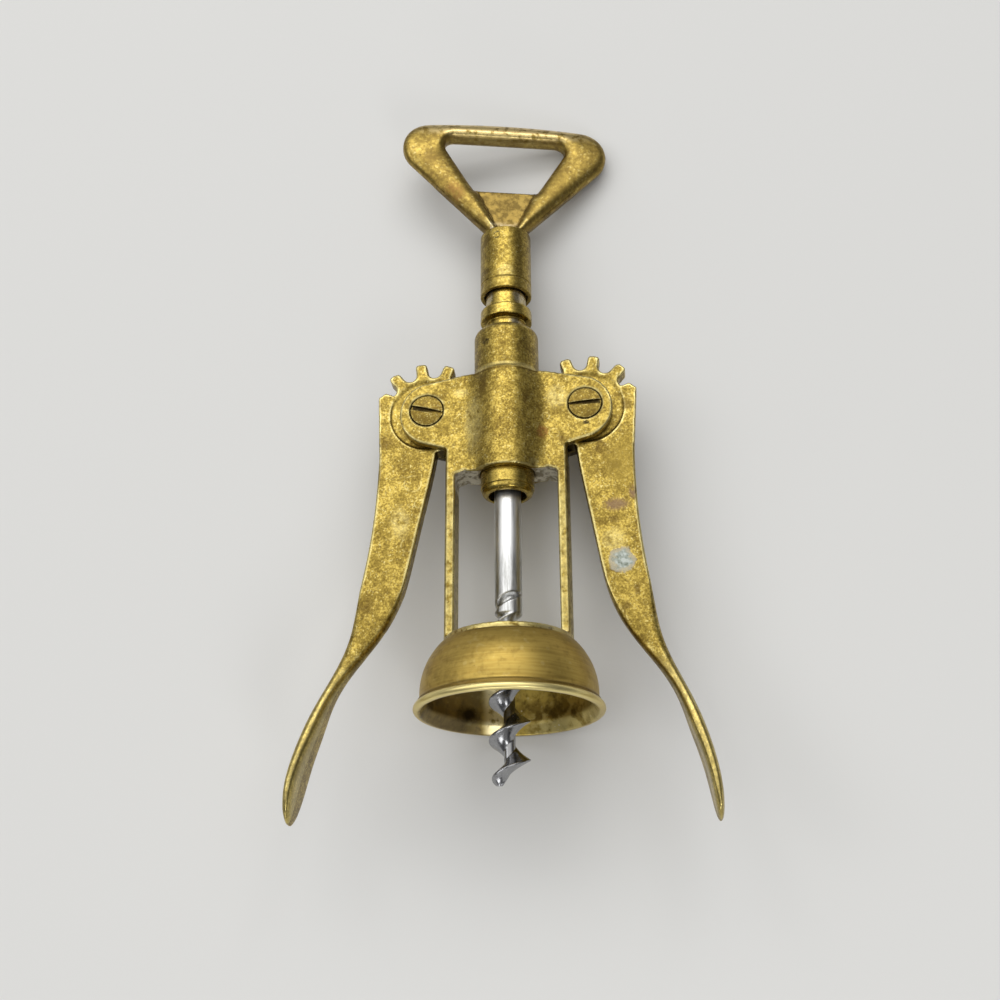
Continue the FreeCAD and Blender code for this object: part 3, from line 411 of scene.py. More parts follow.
# %% The kinds of marks
CRUST_RIM = (0.58, 0.54, 0.42, 1.0)
CRUMB_LIGHT = (0.62, 0.66, 0.62, 1.0)
CRUMB_DARK = (0.15, 0.17, 0.12, 1.0)


def stain(tint, strength, coarser=0.05):
    """A kind of mark: an oval of this tint."""
    def lay(tree, place, cloud, where, color, metal, coarse, scar):
        mask = blot(tree, place, cloud, *where) * cloud.ramp(0.30, 0.55) * strength
        return mixed(tree, mask, color, tint), metal, coarse + mask * coarser, scar
    return lay


def dried_ring(tree, place, cloud, where, color, metal, coarse, scar):
    mask = ring(tree, place, cloud, *where)
    return mixed(tree, mask * 0.45, color, PALE), metal, coarse + mask * 0.05, scar


def crust(tree, place, cloud, where, color, metal, coarse, scar):
    x, z, across, up = where
    rim = blot(tree, place, cloud, x, z, across * 1.15, up * 1.15, 0.10, 0.9)
    crumbs = clouds(tree, place, 0.8, 3.0, 0.6, 5.0)
    core = blot(tree, place, cloud, x, z, across * 0.80, up * 0.80, 0.25, 2.2)
    color = painted(tree, color, (rim * 0.7, CRUST_RIM), (core * 0.9, VERDIGRIS),
                    (core * crumbs.ramp(0.48, 0.60) * 0.8, CRUMB_LIGHT),
                    (core * crumbs.ramp(0.46, 0.36) * 0.75, CRUMB_DARK))
    return color, metal - rim * 0.75, coarse + rim * 0.4, scar - rim * 1.2


# The kind named light is painted light: a pale, slightly smoother oval that stands in for light falling there.
MARKS = {
    "dark": stain(BROWN, 0.7), "soot": stain(SOOT, 0.95), "red": stain(RED, 0.75),
    "purple": stain(PURPLE, 0.85), "olive": stain(OLIVE, 0.7), "tin": stain(TIN, 0.7),
    "light": stain(PALE, 0.30, -0.03), "ring": dried_ring, "crust": crust}
print("kinds of marks:", ", ".join(sorted(MARKS)))


# %% [markdown]
# ## The shape tells where it wears
#
# Wear follows curvature. For every vertex, the middle of its neighbours lies inside the metal
# on an outside edge and outside it in a hollow. How far, along the normal and measured in
# steps of the mesh, is the number called edge. A few rounds of averaging make it soft.

# %% Neighbours, softening and wear
def neighbourhood(mesh):
    ends = np.empty(len(mesh.edges) * 2, dtype=np.int64)
    mesh.edges.foreach_get("vertices", ends)
    ends = ends.reshape(-1, 2)
    return ends, np.maximum(np.bincount(ends.ravel(), minlength=len(mesh.vertices)), 1)


def averaged(values, ends, counts):
    """For each vertex the mean of its neighbours' values."""
    first, second = ends.T
    total = np.zeros_like(values)
    for k in range(values.shape[1]):
        total[:, k] = np.bincount(first, values[second, k], len(counts))
        total[:, k] += np.bincount(second, values[first, k], len(counts))
    return total / counts[:, None]


def rising(values, low, high):
    """0 up to low, 1 from high on and straight between; low may be the larger one."""
    return np.clip((values - low) / (high - low), 0.0, 1.0)


def read_points(mesh):
    points = np.empty(len(mesh.vertices) * 3)
    mesh.vertices.foreach_get("co", points)
    return points.reshape(-1, 3)


def soften(mesh, rounds, pull=0.5, push=-0.52, how_much=1.0):
    """Pull and push in turn, so that steps go and the size stays. how_much, a number or one for
    each vertex, says how far."""
    points = read_points(mesh)
    ends, counts = neighbourhood(mesh)
    how_much = np.reshape(how_much, (-1, 1))
    for share in [pull, push] * rounds:
        points += share * how_much * (averaged(points, ends, counts) - points)
    mesh.vertices.foreach_set("co", points.ravel())
    mesh.update()


def mark_edges(mesh, strength, rounds):
    """Write the attribute called edge: curvature from -1 in a hollow to 1 on an edge."""
    points = read_points(mesh)
    ends, counts = neighbourhood(mesh)
    normals = np.empty(len(points) * 3)
    mesh.vertex_normals.foreach_get("vector", normals)
    normals = normals.reshape(-1, 3)
    step = np.linalg.norm(points[ends[:, 0]] - points[ends[:, 1]], axis=1).mean()
    inward = averaged(points, ends, counts) - points
    bend = -(inward * normals).sum(axis=1, keepdims=True) / step
    for _ in range(rounds):
        bend = 0.4 * bend + 0.6 * averaged(bend, ends, counts)
    bend = np.clip(bend[:, 0] * strength, -1.0, 1.0)
    mesh.attributes.new("edge", "FLOAT", "POINT").data.foreach_set("value", bend)
    return bend


print("wear can be read off a mesh")


# %% Meshes in and out of the tool's frame
def in_tool(node):
    """A copy of a solid's mesh with its doubles merged, in millimetres in the tool's frame."""
    shape = bmesh.new()
    shape.from_mesh(NODES[node].data)
    bmesh.ops.remove_doubles(shape, verts=shape.verts, dist=1e-7)
    shape.transform(TO_ROW.inverted())
    mesh = bpy.data.meshes.new(node + " copy")
    shape.to_mesh(mesh)
    shape.free()
    return mesh


def plain_mesh(mesh, name, kind, settings):
    """The mesh that one modifier makes of it. Numbers in settings set a tree's inputs."""
    holder = bpy.data.objects.new(name, mesh)
    bpy.context.scene.collection.objects.link(holder)
    modifier = holder.modifiers.new(name, kind)
    for key, value in settings.items():
        if kind == "NODES" and key != "node_group":
            modifier[key] = value
        else:
            setattr(modifier, key, value)
    graph = bpy.context.evaluated_depsgraph_get()
    result = bpy.data.meshes.new_from_object(holder.evaluated_get(graph))
    holder.modifiers.remove(modifier)
    bpy.data.objects.remove(holder)
    return result


def finish_piece(name, mesh, node, material, rounds=2, strength=5.0):
    """Close, turn outwards, mark the wear, and set the mesh down in the place of its node.

    The wear is averaged over so many rounds, and strength says how much of it a bend gives."""
    shape = bmesh.new()
    shape.from_mesh(mesh)
    bmesh.ops.remove_doubles(shape, verts=shape.verts, dist=1e-4)
    bmesh.ops.dissolve_degenerate(shape, edges=shape.edges, dist=1e-5)
    bmesh.ops.recalc_face_normals(shape, faces=shape.faces)
    shape.to_mesh(mesh)
    shape.free()
    bend = mark_edges(mesh, strength, rounds)
    mesh.materials.clear()
    mesh.materials.append(material)
    mesh.shade_smooth()
    mesh.transform(TO_ROW)
    piece = bpy.data.objects.new(name, mesh)
    bpy.context.scene.collection.objects.link(piece)
    body = next(name for name, nodes in BODIES.items() if node in nodes)
    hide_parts(node)
    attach(piece, body)
    print(name, "faces", len(mesh.polygons), "edge 5/95 %", np.percentile(bend, [5, 95]).round(2))
    return piece


print("pieces can be finished")

# %% [markdown]
# ## Turned pieces
#
# The bell, the rack's sleeve and the grip came off a lathe, and a lathe is a rule: every point
# of an outline goes round the axis. A Geometry Nodes tree does the same. It makes a grid with
# one column for each step round the axis and one row for each point of the outline, looks up
# the point by its row, and turns it by its column. The outlines have small rounds at every
# corner, because those catch the light.

# %% Outlines with rounds and arcs
LARGEST_CUT = 0.45
RUN_UP = 1.9
LONGEST_FACE = 0.8


def arc(start, end, radius, steps=18):
    """Points on a circle that bulges to the right of the way, or left for a negative radius."""
    start, end = Vector(start), Vector(end)
    half = (end - start) / 2.0
    hand = math.copysign(1.0, radius)
    side = Vector((half.y, -half.x)).normalized() * hand
    centre = start + half - side * math.sqrt(max(radius * radius - half.length_squared, 0.0))
    sweep = 2.0 * math.asin(min(half.length / abs(radius), 1.0)) * hand
    first = start - centre
    return [(*(centre + Matrix.Rotation(sweep * i / steps, 2) @ first), 0.0)
            for i in range(steps + 1)]


def rounded(corners, steps=4):
    """The closed outline as points (r, z), each corner (r, z, radius) rounded."""
    points = []
    for i, (r, z, radius) in enumerate(corners):
        here = Vector((r, z))
        if radius == 0.0:
            points.append(here)
            continue
        before = Vector(corners[i - 1][:2]) - here
        after = Vector(corners[(i + 1) % len(corners)][:2]) - here
        cut = min(radius, before.length * LARGEST_CUT, after.length * LARGEST_CUT)
        start = here + before.normalized() * cut
        end = here + after.normalized() * cut
        points.append(here + before.normalized() * cut * RUN_UP)
        for k in range(steps + 1):
            t = k / steps
            points.append(start * (1 - t) ** 2 + here * 2 * t * (1 - t) + end * t ** 2)
        points.append(here + after.normalized() * cut * RUN_UP)
    return points


def outline_mesh(points):
    mesh = bpy.data.meshes.new("outline")
    mesh.from_pydata([(p[0], 0.0, p[1]) for p in points], [], [])
    return mesh


print("outlines are lists of corners")


# %% Trees with named inputs
def new_tree(name, inputs):
    """A geometry tree with a mesh in, a mesh out and these named inputs."""
    tree = bpy.data.node_groups.new(name, "GeometryNodeTree")
    tree.interface.new_socket("Outline", in_out="INPUT", socket_type="NodeSocketGeometry")
    tree.interface.new_socket("Piece", in_out="OUTPUT", socket_type="NodeSocketGeometry")
    for label, kind in inputs.items():
        tree.interface.new_socket(label, in_out="INPUT", socket_type="NodeSocket" + kind)
    return tree, {out.name: Value(tree, out)
                  for out in tree.nodes.new("NodeGroupInput").outputs if out.name}


def turned_grid(tree, given):
    """A grid of columns and rows, with each vertex's radius, height and angle."""
    grid = add_node(tree, "GeometryNodeMeshGrid", inputs={
        "Size X": 1.0, "Size Y": 1.0,
        "Vertices X": given["Columns"] + 1, "Vertices Y": given["Rows"]})
    index = add_node(tree, "GeometryNodeInputIndex")
    column = (index / given["Rows"]).floor()
    row = index - column * given["Rows"]
    looked_up = add_node(tree, "GeometryNodeSampleIndex", {"data_type": "FLOAT_VECTOR"}, {
        "Geometry": given["Outline"], "Value": add_node(tree, "GeometryNodeInputPosition"),
        "Index": row})
    radius, _, height = parts(tree, looked_up)
    return grid, radius, height, column / given["Columns"] * (2.0 * math.pi)


def close_tree(tree, given, grid, x, y, z):
    """Move the grid's vertices, close the seam, give the material and end the tree."""
    place = add_node(tree, "ShaderNodeCombineXYZ", inputs={0: x, 1: y, 2: z})
    shaped = add_node(tree, "GeometryNodeSetPosition", inputs={
        "Geometry": grid, "Position": place})
    closed = add_node(tree, "GeometryNodeMergeByDistance", inputs={
        "Geometry": shaped, "Distance": 0.001})
    real = add_node(tree, "GeometryNodeRealizeInstances", inputs={"Geometry": closed})
    painted = add_node(tree, "GeometryNodeSetMaterial", inputs={
        "Geometry": real, "Material": given["Material"]})
    feed(tree, tree.nodes.new("NodeGroupOutput").inputs[0], painted)


def run_tree(tree, points, **values):
    """The mesh that the tree makes of an outline; inputs are set by their identifiers."""
    named = {item.name: item.identifier for item in tree.interface.items_tree
             if item.in_out == "INPUT"}
    settings = {named[label.replace("_", " ")]: value for label, value in values.items()}
    return plain_mesh(outline_mesh(points), tree.name, "NODES", {
        "node_group": tree, named["Rows"]: len(points), **settings})


print("trees can be built and run")


# %% The lathe
def build_lathe():
    tree, given = new_tree("lathe", {"Columns": "Int", "Rows": "Int", "Material": "Material"})
    grid, radius, height, angle = turned_grid(tree, given)
    close_tree(tree, given, grid, radius * angle.cos(), radius * angle.sin(), height)
    return tree


LATHE = build_lathe()


def turn(corners, material, columns):
    """Turn the outline, with its long runs split so that the faces stay nearly square."""
    points = rounded(corners)
    rows = []
    for start, end in zip(points, points[1:] + points[:1]):
        pieces = max(1, math.ceil((end - start).length / LONGEST_FACE))
        rows += [start.lerp(end, i / pieces) for i in range(pieces)]
    return run_tree(LATHE, rows + rows[:1], Columns=columns, Material=material)


print("lathe with", len(LATHE.nodes), "nodes")

# %% [markdown]
# ## The bell
#
# The bell is a spun cup of thin brass. Its lip is rolled into a bead so that it doesn't cut the
# bottle, above the bead runs a plain band, and from there one long curve closes to the ring.
# Spinning leaves a satin skin, and the inside, which nobody can reach, has gone brown and spotted.
# Over that lie painted light and shade: a painted highlight on the bead, strongest at the front, a
# painted shadow line above the bead, painted shade on the shoulder, and a painted highlight band,
# a painted lit patch and painted shade on the inside wall.

# %% The bell's sizes and its tints
BELL_WALL = 1.4
LIP_TOP, BAND_TOP, BELL_TOP = 1.6, 2.4, 14.4
LIP_MIDDLE, BAND_RADIUS, SIDE_FOOT, SIDE_TOP, BELL_HOLE = 19.2, 19.15, 18.6, 14.5, 7.0
SIDE_ROUND = 15.0
SIDE_CENTRE = (3.69, 4.0)
SATIN_DARK, SATIN_LIGHT = (0.36, 0.235, 0.06, 1.0), (0.47, 0.33, 0.09, 1.0)
BEAD_SHINE = (0.82, 0.70, 0.31, 1.0)
INNER_SHADE, INNER_SHINE = (0.20, 0.16, 0.10, 1.0), (0.92, 0.80, 0.45, 1.0)
GLITTER = (0.75, 0.68, 0.45, 1.0)
print("bell of", BELL_WALL, "mm brass,", BELL_TOP, "mm high")


# %% The bell's finish
def bell_lines(tree, place, cloud, color, coarse):
    """Satin outside, brown and spotted inside, with painted light and shade on bead, shoulder and inner wall."""
    x, y, z = parts(tree, place)
    rise = z - SIDE_CENTRE[1]
    side = (SIDE_ROUND ** 2 - rise * rise).at_least(1.0).sqrt() + SIDE_CENTRE[0]
    beside_lip = (BAND_TOP - z).at_least(0.0) * 0.6
    inside = (distance(x, y) - side + BELL_WALL / 2.0 - beside_lip).ramp(0.25, -0.25)
    outside = 1.0 - inside
    back = inside * (y > 0.0)
    spun = clouds(tree, stretched(tree, place, (0.05, 0.05, 1.0)), 0.5, 2.0)
    satin = mixed(tree, spun.ramp(0.40, 0.60), SATIN_DARK, SATIN_LIGHT)
    # Painted shadow: a dark line just above the bead.
    shadow_line_over_bead = abs(z - 2.05).ramp(0.55, 0.15) * outside
    # Painted shade: the outside of the bell is darker towards its top.
    shoulder_shade = z.ramp(9.5, BELL_TOP - 0.4) * outside
    bead = z.ramp(1.7, 1.3) * outside
    # Painted highlight: a bright band down the inside wall, left of the worm.
    inner_highlight_band = back * abs(x + 4.9).ramp(2.9, 0.9) * cloud.ramp(0.34, 0.46)
    # Painted light: a lit patch low on the inside wall, right of the worm.
    inner_lit_patch = back * x.ramp(1.0, 5.0) * z.ramp(7.0, 3.0) * cloud.ramp(0.40, 0.56)
    glitter = specks(tree, place, 0.9, 0.4, 0.22) * inside * cloud.ramp(0.42, 0.55)
    spot = blot(tree, place, cloud, -9.8, 3.9, 2.0, 1.6, 0.5, front=False) * back
    color = painted(
        tree, color, (outside * 0.6, satin), (shadow_line_over_bead * 0.65, BROWN), (shoulder_shade * 0.3, OLIVE),
        # Painted highlight on the bead, strongest at the front.
        (bead * (0.35 + 0.55 * y.ramp(0.0, -14.0)), BEAD_SHINE),
        (inside * cloud.ramp(0.60, 0.40) * 0.5, BROWN),
        (back * x.ramp(-6.0, -9.0) * 0.6, INNER_SHADE), (inner_highlight_band * 0.85, INNER_SHINE),
        (inner_lit_patch * 0.7, PALE), (glitter * 0.8, GLITTER), (spot * 0.95, SOOT))
    return color, coarse + (spun - 0.5) * 0.2 - bead * 0.10 - inside * 0.06 - inner_highlight_band * 0.05


BELL_BRASS = aged(
    "spun brass", tarnish=0.34, cloud_size=12.0, grain=1.5, pit_share=0.03, pit_size=0.16,
    rough=0.48, relief=0.30, wear=0.6, more=bell_lines, seed=11.0)

# %% The bell's shape
bell = [
    (SIDE_FOOT, 0.0, 0.25), *arc((LIP_MIDDLE, 0.0), (LIP_MIDDLE, LIP_TOP), LIP_TOP / 2.0, 10),
    (BAND_RADIUS, LIP_TOP + 0.02, 0.0), (BAND_RADIUS, BAND_TOP, 0.3),
    *arc((SIDE_FOOT, BAND_TOP), (SIDE_TOP, BELL_TOP), SIDE_ROUND),
    (BELL_HOLE, BELL_TOP, 0.2), (BELL_HOLE, BELL_TOP - BELL_WALL, 0.2),
    *arc((SIDE_TOP - BELL_WALL, BELL_TOP - BELL_WALL), (SIDE_FOOT - BELL_WALL, BAND_TOP),
         BELL_WALL - SIDE_ROUND)]
finish_piece("spun_bell", turn(bell, BELL_BRASS, 180), "bell", BELL_BRASS,
             rounds=1, strength=2.0)

# %% [markdown]
# ## The rack
#
# The toothed part isn't a flat rack but a sleeve with grooves all round, so that it works the
# levers however the handle stands. Oil and the levers keep it cleaner than the castings. Its
# grooves are all alike, so a loop adds them to the outline, one step of the levers' teeth apart.

# %% The rack's finish
def turning_lines(tree, place, cloud, color, coarse):
    """Fine lines round the axis, left by the turning tool."""
    lines = clouds(tree, stretched(tree, place, (0.03, 0.03, 1.0)), 0.30, 3.0)
    color = mixed(tree, lines.ramp(0.55, 0.35) * 0.35, color, OLIVE)
    return color, coarse + (lines - 0.5) * 0.25


RACK_BRASS = aged(
    "turned brass", tarnish=0.44, cloud_size=3.0, grain=0.30, pit_share=0.10, pit_size=0.15,
    rough=0.27, relief=0.5, wear=0.9, more=turning_lines, seed=4.0, marks=[
        ("tin", 3.4, 98.0, 1.3, 2.0), ("tin", -3.6, 98.0, 0.9, 1.8), ("tin", 2.6, 91.0, 1.4, 0.9)])

# %% The rack's shape
BAR_RADIUS = 5.95
RACK_BOTTOM, TOP_RING, RACK_TOP = 48.8, 95.25, 100.98
FOOT_RADIUS, FOOT_ROUND, FOOT_TOP = 5.75, 1.25, 50.4
NECK_RADIUS, BORE_RADIUS = 4.65, 2.57
COUNTERBORE_RADIUS, COUNTERBORE_TOP = 4.2, 55.0
GROOVE_RADIUS, GROOVE_FLOOR, GROOVE_MOUTH = 4.4, 3.4, 3.83
GROOVE_COUNT, GROOVE_STEP, TOP_GROOVE = 4, 6.466, 90.482
rack = [
    (COUNTERBORE_RADIUS, RACK_BOTTOM, 0.2),
    *arc((FOOT_RADIUS - FOOT_ROUND, RACK_BOTTOM), (FOOT_RADIUS, RACK_BOTTOM + FOOT_ROUND),
         FOOT_ROUND, 6),
    (FOOT_RADIUS, FOOT_TOP, 0.0), (BAR_RADIUS, FOOT_TOP + 0.02, 0.12)]
for k in reversed(range(GROOVE_COUNT)):
    groove = TOP_GROOVE - k * GROOVE_STEP
    rack += [(BAR_RADIUS, groove - GROOVE_MOUTH / 2.0, 0.25),
             (GROOVE_RADIUS, groove - GROOVE_FLOOR / 2.0, 0.2),
             (GROOVE_RADIUS, groove + GROOVE_FLOOR / 2.0, 0.2),
             (BAR_RADIUS, groove + GROOVE_MOUTH / 2.0, 0.25)]
rack += [(BAR_RADIUS, TOP_RING, 0.35), (NECK_RADIUS, TOP_RING, 0.2),
         (NECK_RADIUS, RACK_TOP, 0.15), (BORE_RADIUS, RACK_TOP, 0.1),
         (BORE_RADIUS, COUNTERBORE_TOP, 0.0), (COUNTERBORE_RADIUS, COUNTERBORE_TOP, 0.2)]
finish_piece("grooved_sleeve", turn(rack, RACK_BRASS, 96), "rack_sleeve",
             RACK_BRASS, rounds=1, strength=3.0)

# %% [markdown]
# ## The grip
#
# A short bar of brass, turned plain, with a scribed line and a recess in its lower rim that
# hides the end of the sleeve. A cross pin holds the rod in it, and its hole is drilled after
# the turning, so here a Boolean drills it after the lathe.

# %% The grip's finish and its shape
GRIP_BRASS = aged(
    "grip brass", tarnish=0.62, cloud_size=4.0, grain=0.40, pit_share=0.22, pit_size=0.20,
    rough=0.36, relief=0.9, wear=0.9, more=turning_lines, seed=8.0, marks=[
        # The light oval on the grip is a painted highlight.
        ("light", 0.5, 103.5, 1.8, 1.8), ("dark", -4.0, 113.0, 1.0, 1.6),
        ("dark", -4.2, 104.5, 0.9, 0.9)])
GRIP_BOTTOM, RECESS_TOP, SEAT_TOP, GRIP_TOP = 99.4, 101.02, 114.85, 115.7
RECESS_RADIUS, SEAT_RADIUS = 5.1, 2.6
SCRIBED_LINE, SCRIBE_HALF_WIDTH, SCRIBE_DEPTH = 102.2, 0.2, 0.15
grip = [
    (SEAT_RADIUS, RECESS_TOP, 0.0), (RECESS_RADIUS, RECESS_TOP, 0.15),
    (RECESS_RADIUS, GRIP_BOTTOM, 0.15), (BAR_RADIUS, GRIP_BOTTOM, 0.22),
    (BAR_RADIUS, SCRIBED_LINE - SCRIBE_HALF_WIDTH, 0.08),
    (BAR_RADIUS - SCRIBE_DEPTH, SCRIBED_LINE, 0.05),
    (BAR_RADIUS, SCRIBED_LINE + SCRIBE_HALF_WIDTH, 0.08), (BAR_RADIUS, GRIP_TOP, 0.12),
    (0.0, GRIP_TOP, 0.0), (0.0, SEAT_TOP, 0.0), (SEAT_RADIUS, SEAT_TOP, 0.0)]
print("grip", round(GRIP_TOP - GRIP_BOTTOM, 2), "mm long")


# %% The hole for the pin
PIN_HOLE_RADIUS, PIN_UP, PIN_ANGLE, DRILL_LENGTH = 0.76, 113.6, 63.0, 14.0


def drilled(mesh):
    """The grip with a hole across it, turned with the handle."""
    across = Matrix.Rotation(math.radians(90.0), 4, "Y")
    turned = Matrix.Rotation(HANDLE_SPIN + math.radians(PIN_ANGLE), 4, "Z")
    drill = bpy.data.objects.new("drill", bpy.data.meshes.new("drill"))
    cutter = bmesh.new()
    bmesh.ops.create_cone(
        cutter, cap_ends=True, segments=32, radius1=PIN_HOLE_RADIUS, radius2=PIN_HOLE_RADIUS,
        depth=DRILL_LENGTH, matrix=Matrix.Translation((0.0, 0.0, PIN_UP)) @ turned @ across)
    cutter.to_mesh(drill.data)
    cutter.free()
    bpy.context.scene.collection.objects.link(drill)
    result = plain_mesh(mesh, "drilled grip", "BOOLEAN", {
        "object": drill, "operation": "DIFFERENCE", "solver": "EXACT"})
    bpy.data.objects.remove(drill)
    return result


finish_piece("turned_grip", drilled(turn(grip, GRIP_BRASS, 96)), "handle_barrel",
             GRIP_BRASS, rounds=0, strength=1.5)

# %% The pin
PIN_BRASS = aged("pin brass", tarnish=0.62, cloud_size=2.0, grain=0.3, pit_share=0.1,
                 pit_size=0.12, rough=0.36, relief=0.6, wear=0.0)
NODES["handle_cross_pin"].data.materials.clear()
NODES["handle_cross_pin"].data.materials.append(PIN_BRASS)
print("the pin keeps its own mesh")

# %% [markdown]
# ## The worm
#
# The worm is cut from the rod: a blade climbs round a thin core, right-handed, one turn every
# 8.1 mm. That is a rule too. Looked at from the end, the outside of the rod is a radius that
# depends only on the angle and the height, so the lathe's grid serves again. The formula asks
# how far a point is above the blade and lets the radius fall along a hollow flank to the core.
# Near the bottom the blade shrinks and the middle moves out, which makes the point.

# %% The steel
STEEL_DARK, STEEL_LIGHT = (0.36, 0.36, 0.35, 1.0), (0.68, 0.685, 0.68, 1.0)
STEEL_IN_SHADE, STEEL_EDGE = (0.22, 0.22, 0.23, 1.0), (0.95, 0.95, 0.95, 1.0)
CORK_FILM, STEEL_HOLLOW_SHADE = (0.34, 0.29, 0.20, 1.0), (0.10, 0.09, 0.08, 1.0)


def steel():
    """Steel drawn bright, with a film of cork, and painted shade inside the bell and in its hollows."""
    material = bpy.data.materials.new("bright steel")
    material.use_nodes = True
    tree = material.node_tree
    shader = tree.nodes["Principled BSDF"]
    place = on_tool(tree)
    in_bell = parts(tree, place)[2].ramp(20.0, 12.0)
    streak = clouds(tree, stretched(tree, place, (1.0, 1.0, 0.08)), 0.45, 5.0, 0.7, 2.0)
    film = clouds(tree, place, 5.0, 4.0, 0.6, 5.0)
    edge = edge_number(tree)
    # Painted shade: darker inside the bell and in the hollows of the blade.
    color = painted(
        tree, mixed(tree, streak.ramp(0.35, 0.62), STEEL_DARK, STEEL_LIGHT),
        (in_bell * 0.75, STEEL_IN_SHADE), (film.ramp(0.60, 0.70) * 0.5, CORK_FILM),
        ((edge * -1.0).ramp(0.15, 0.8) * 0.7, STEEL_HOLLOW_SHADE), (edge.ramp(0.3, 0.8) * 0.6, STEEL_EDGE))
    feed(tree, shader.inputs["Base Color"], color)
    shader.inputs["Metallic"].default_value = 1.0
    feed(tree, shader.inputs["Roughness"], 0.36 - in_bell * 0.14 + (streak - 0.5) * 0.4)
    normal = add_node(tree, "ShaderNodeBump", inputs={
        "Strength": 0.4, "Distance": 0.03 * MILLIMETRE, "Height": streak})
    feed(tree, shader.inputs["Normal"], normal)
    return material


STEEL = steel()
print("steel is ready")

# %% The winding tree
ROD_RADIUS, JOURNAL_RADIUS = 2.95, 2.5
TIP, WORM_TOP, SHOULDER, ROD_TOP = -14.9, 21.5, 54.9, 114.8
POINT_LENGTH, DRIFT_LENGTH, DRIFT = 5.2, 4.2, 2.0
BLADE_EDGE_HALF, FLANK_LENGTH, FLANK_FOOT, FLANK_HOLLOW = 0.15, 3.6, 0.9, 0.95
FLUTE_FLOOR = 1.6


def build_winder():
    """The lathe's grid, with a blade that climbs, a flute that runs out and a ground point."""
    tree, given = new_tree("worm", {
        "Columns": "Int", "Rows": "Int", "Material": "Material", "Pitch": "Float",
        "Start height": "Float", "Start angle": "Float", "Blade radius": "Float",
        "Core radius": "Float"})
    grid, rod, z, angle = turned_grid(tree, given)
    pitch, start = given["Pitch"], given["Start angle"]
    climbed = z - given["Start height"] - (angle - start) / (2.0 * math.pi) * pitch
    above = abs(climbed.wrap(pitch * 0.5, pitch * -0.5))
    reach = given["Blade radius"] - (given["Blade radius"] - ROD_RADIUS) * z.ramp(11.0, 17.0)
    slope = ((above - BLADE_EDGE_HALF) / FLANK_LENGTH).at_least(0.0).at_most(1.0)
    blade = reach - (reach - FLANK_FOOT) * (slope + FLANK_HOLLOW * slope * (1.0 - slope))
    core = given["Core radius"] + (rod - given["Core radius"]) * z.ramp(20.0, 21.6)
    in_worm = z < WORM_TOP
    radius = blade.at_least(core) * in_worm + core * (1.0 - in_worm)
    flute = (pitch * 0.5 - above).ramp(1.15, 0.35) * z.ramp(19.0, 21.3) * z.ramp(26.2, 25.3)
    radius = radius - flute * (radius - FLUTE_FLOOR).at_least(0.0)
    taper = ((z - TIP + 0.05) / POINT_LENGTH).at_least(0.0).at_most(1.0) ** 0.45
    no_limit = 100.0 * (z < 30.0) * (rod > 0.001)
    radius = (radius * taper).at_most(rod + no_limit)
    drift = (1.0 - (z - TIP) / DRIFT_LENGTH).at_least(0.0) * DRIFT
    x = radius * angle.cos() + drift * start.cos()
    y = radius * angle.sin() + drift * start.sin()
    close_tree(tree, given, grid, x, y, z)
    return tree


print("the worm can be wound")

# %% The worm's shape
ROW_STEP, FINE_ROWS = 0.2, 210
rows = [(0.0, TIP)] + [(ROD_RADIUS, TIP + ROW_STEP * k) for k in range(1, FINE_ROWS + 1)]
rows += [(ROD_RADIUS, 40.0), (ROD_RADIUS, SHOULDER - 0.3), (ROD_RADIUS - 0.15, SHOULDER - 0.02),
         (JOURNAL_RADIUS, SHOULDER), (JOURNAL_RADIUS, 80.0), (JOURNAL_RADIUS, ROD_TOP),
         (0.0, ROD_TOP)]
worm = run_tree(
    build_winder(), rows, Columns=128, Material=STEEL, Pitch=8.1, Start_height=-14.1,
    Start_angle=HANDLE_SPIN + math.radians(155.5), Blade_radius=4.3, Core_radius=1.2)
finish_piece("steel_worm", worm, "worm_spindle", STEEL, rounds=1, strength=3.0)

# %% [markdown]
# ## Castings
#
# The frame, the levers and the loop were cast in sand and filed, so no edge on them is sharp
# and no face is quite flat. A voxel remesh gives a skin of even small squares over the whole
# solid, and a few rounds of softening round every edge a little, as filing and wear do.

# %% Recast a solid with soft edges
FILING = 3


def recast(node, voxel):
    """A skin of squares of this many millimetres over a solid, with its edges softened."""
    mesh = plain_mesh(in_tool(node), node + " skin", "REMESH", {
        "mode": "VOXEL", "voxel_size": voxel, "use_smooth_shade": True})
    soften(mesh, FILING)
    return mesh


def from_pivot(x, z):
    """How far out, up and away from the nearer pivot of a lever a point is."""
    out, up = abs(x) - PIVOT_OUT, z - PIVOT_UP
    return out, up, distance(out, up)


print("castings get a skin")

# %% [markdown]
# ## The frame
#
# One casting holds collar, barrel, ears, legs and base ring. Its collar has a dark seam, and under
# the body dust and polish have dried pale. Painted shade darkens the gap round the sunk screws and
# the place behind the heels of the levers, and painted light brightens a band above the seam, the
# top of the base ring and the legs. On the real casting the barrel's bulge runs out very gently
# into the flat faces. The solid has a plain fillet there, so the mesh is raised a little beside
# the bulge and smoothed.

# %% The frame's finish
DUST, DRIED_POLISH = (0.36, 0.33, 0.26, 1.0), (0.85, 0.82, 0.72, 1.0)
SCREW_GAP = 3.82
COLLAR_SEAM = 77.3


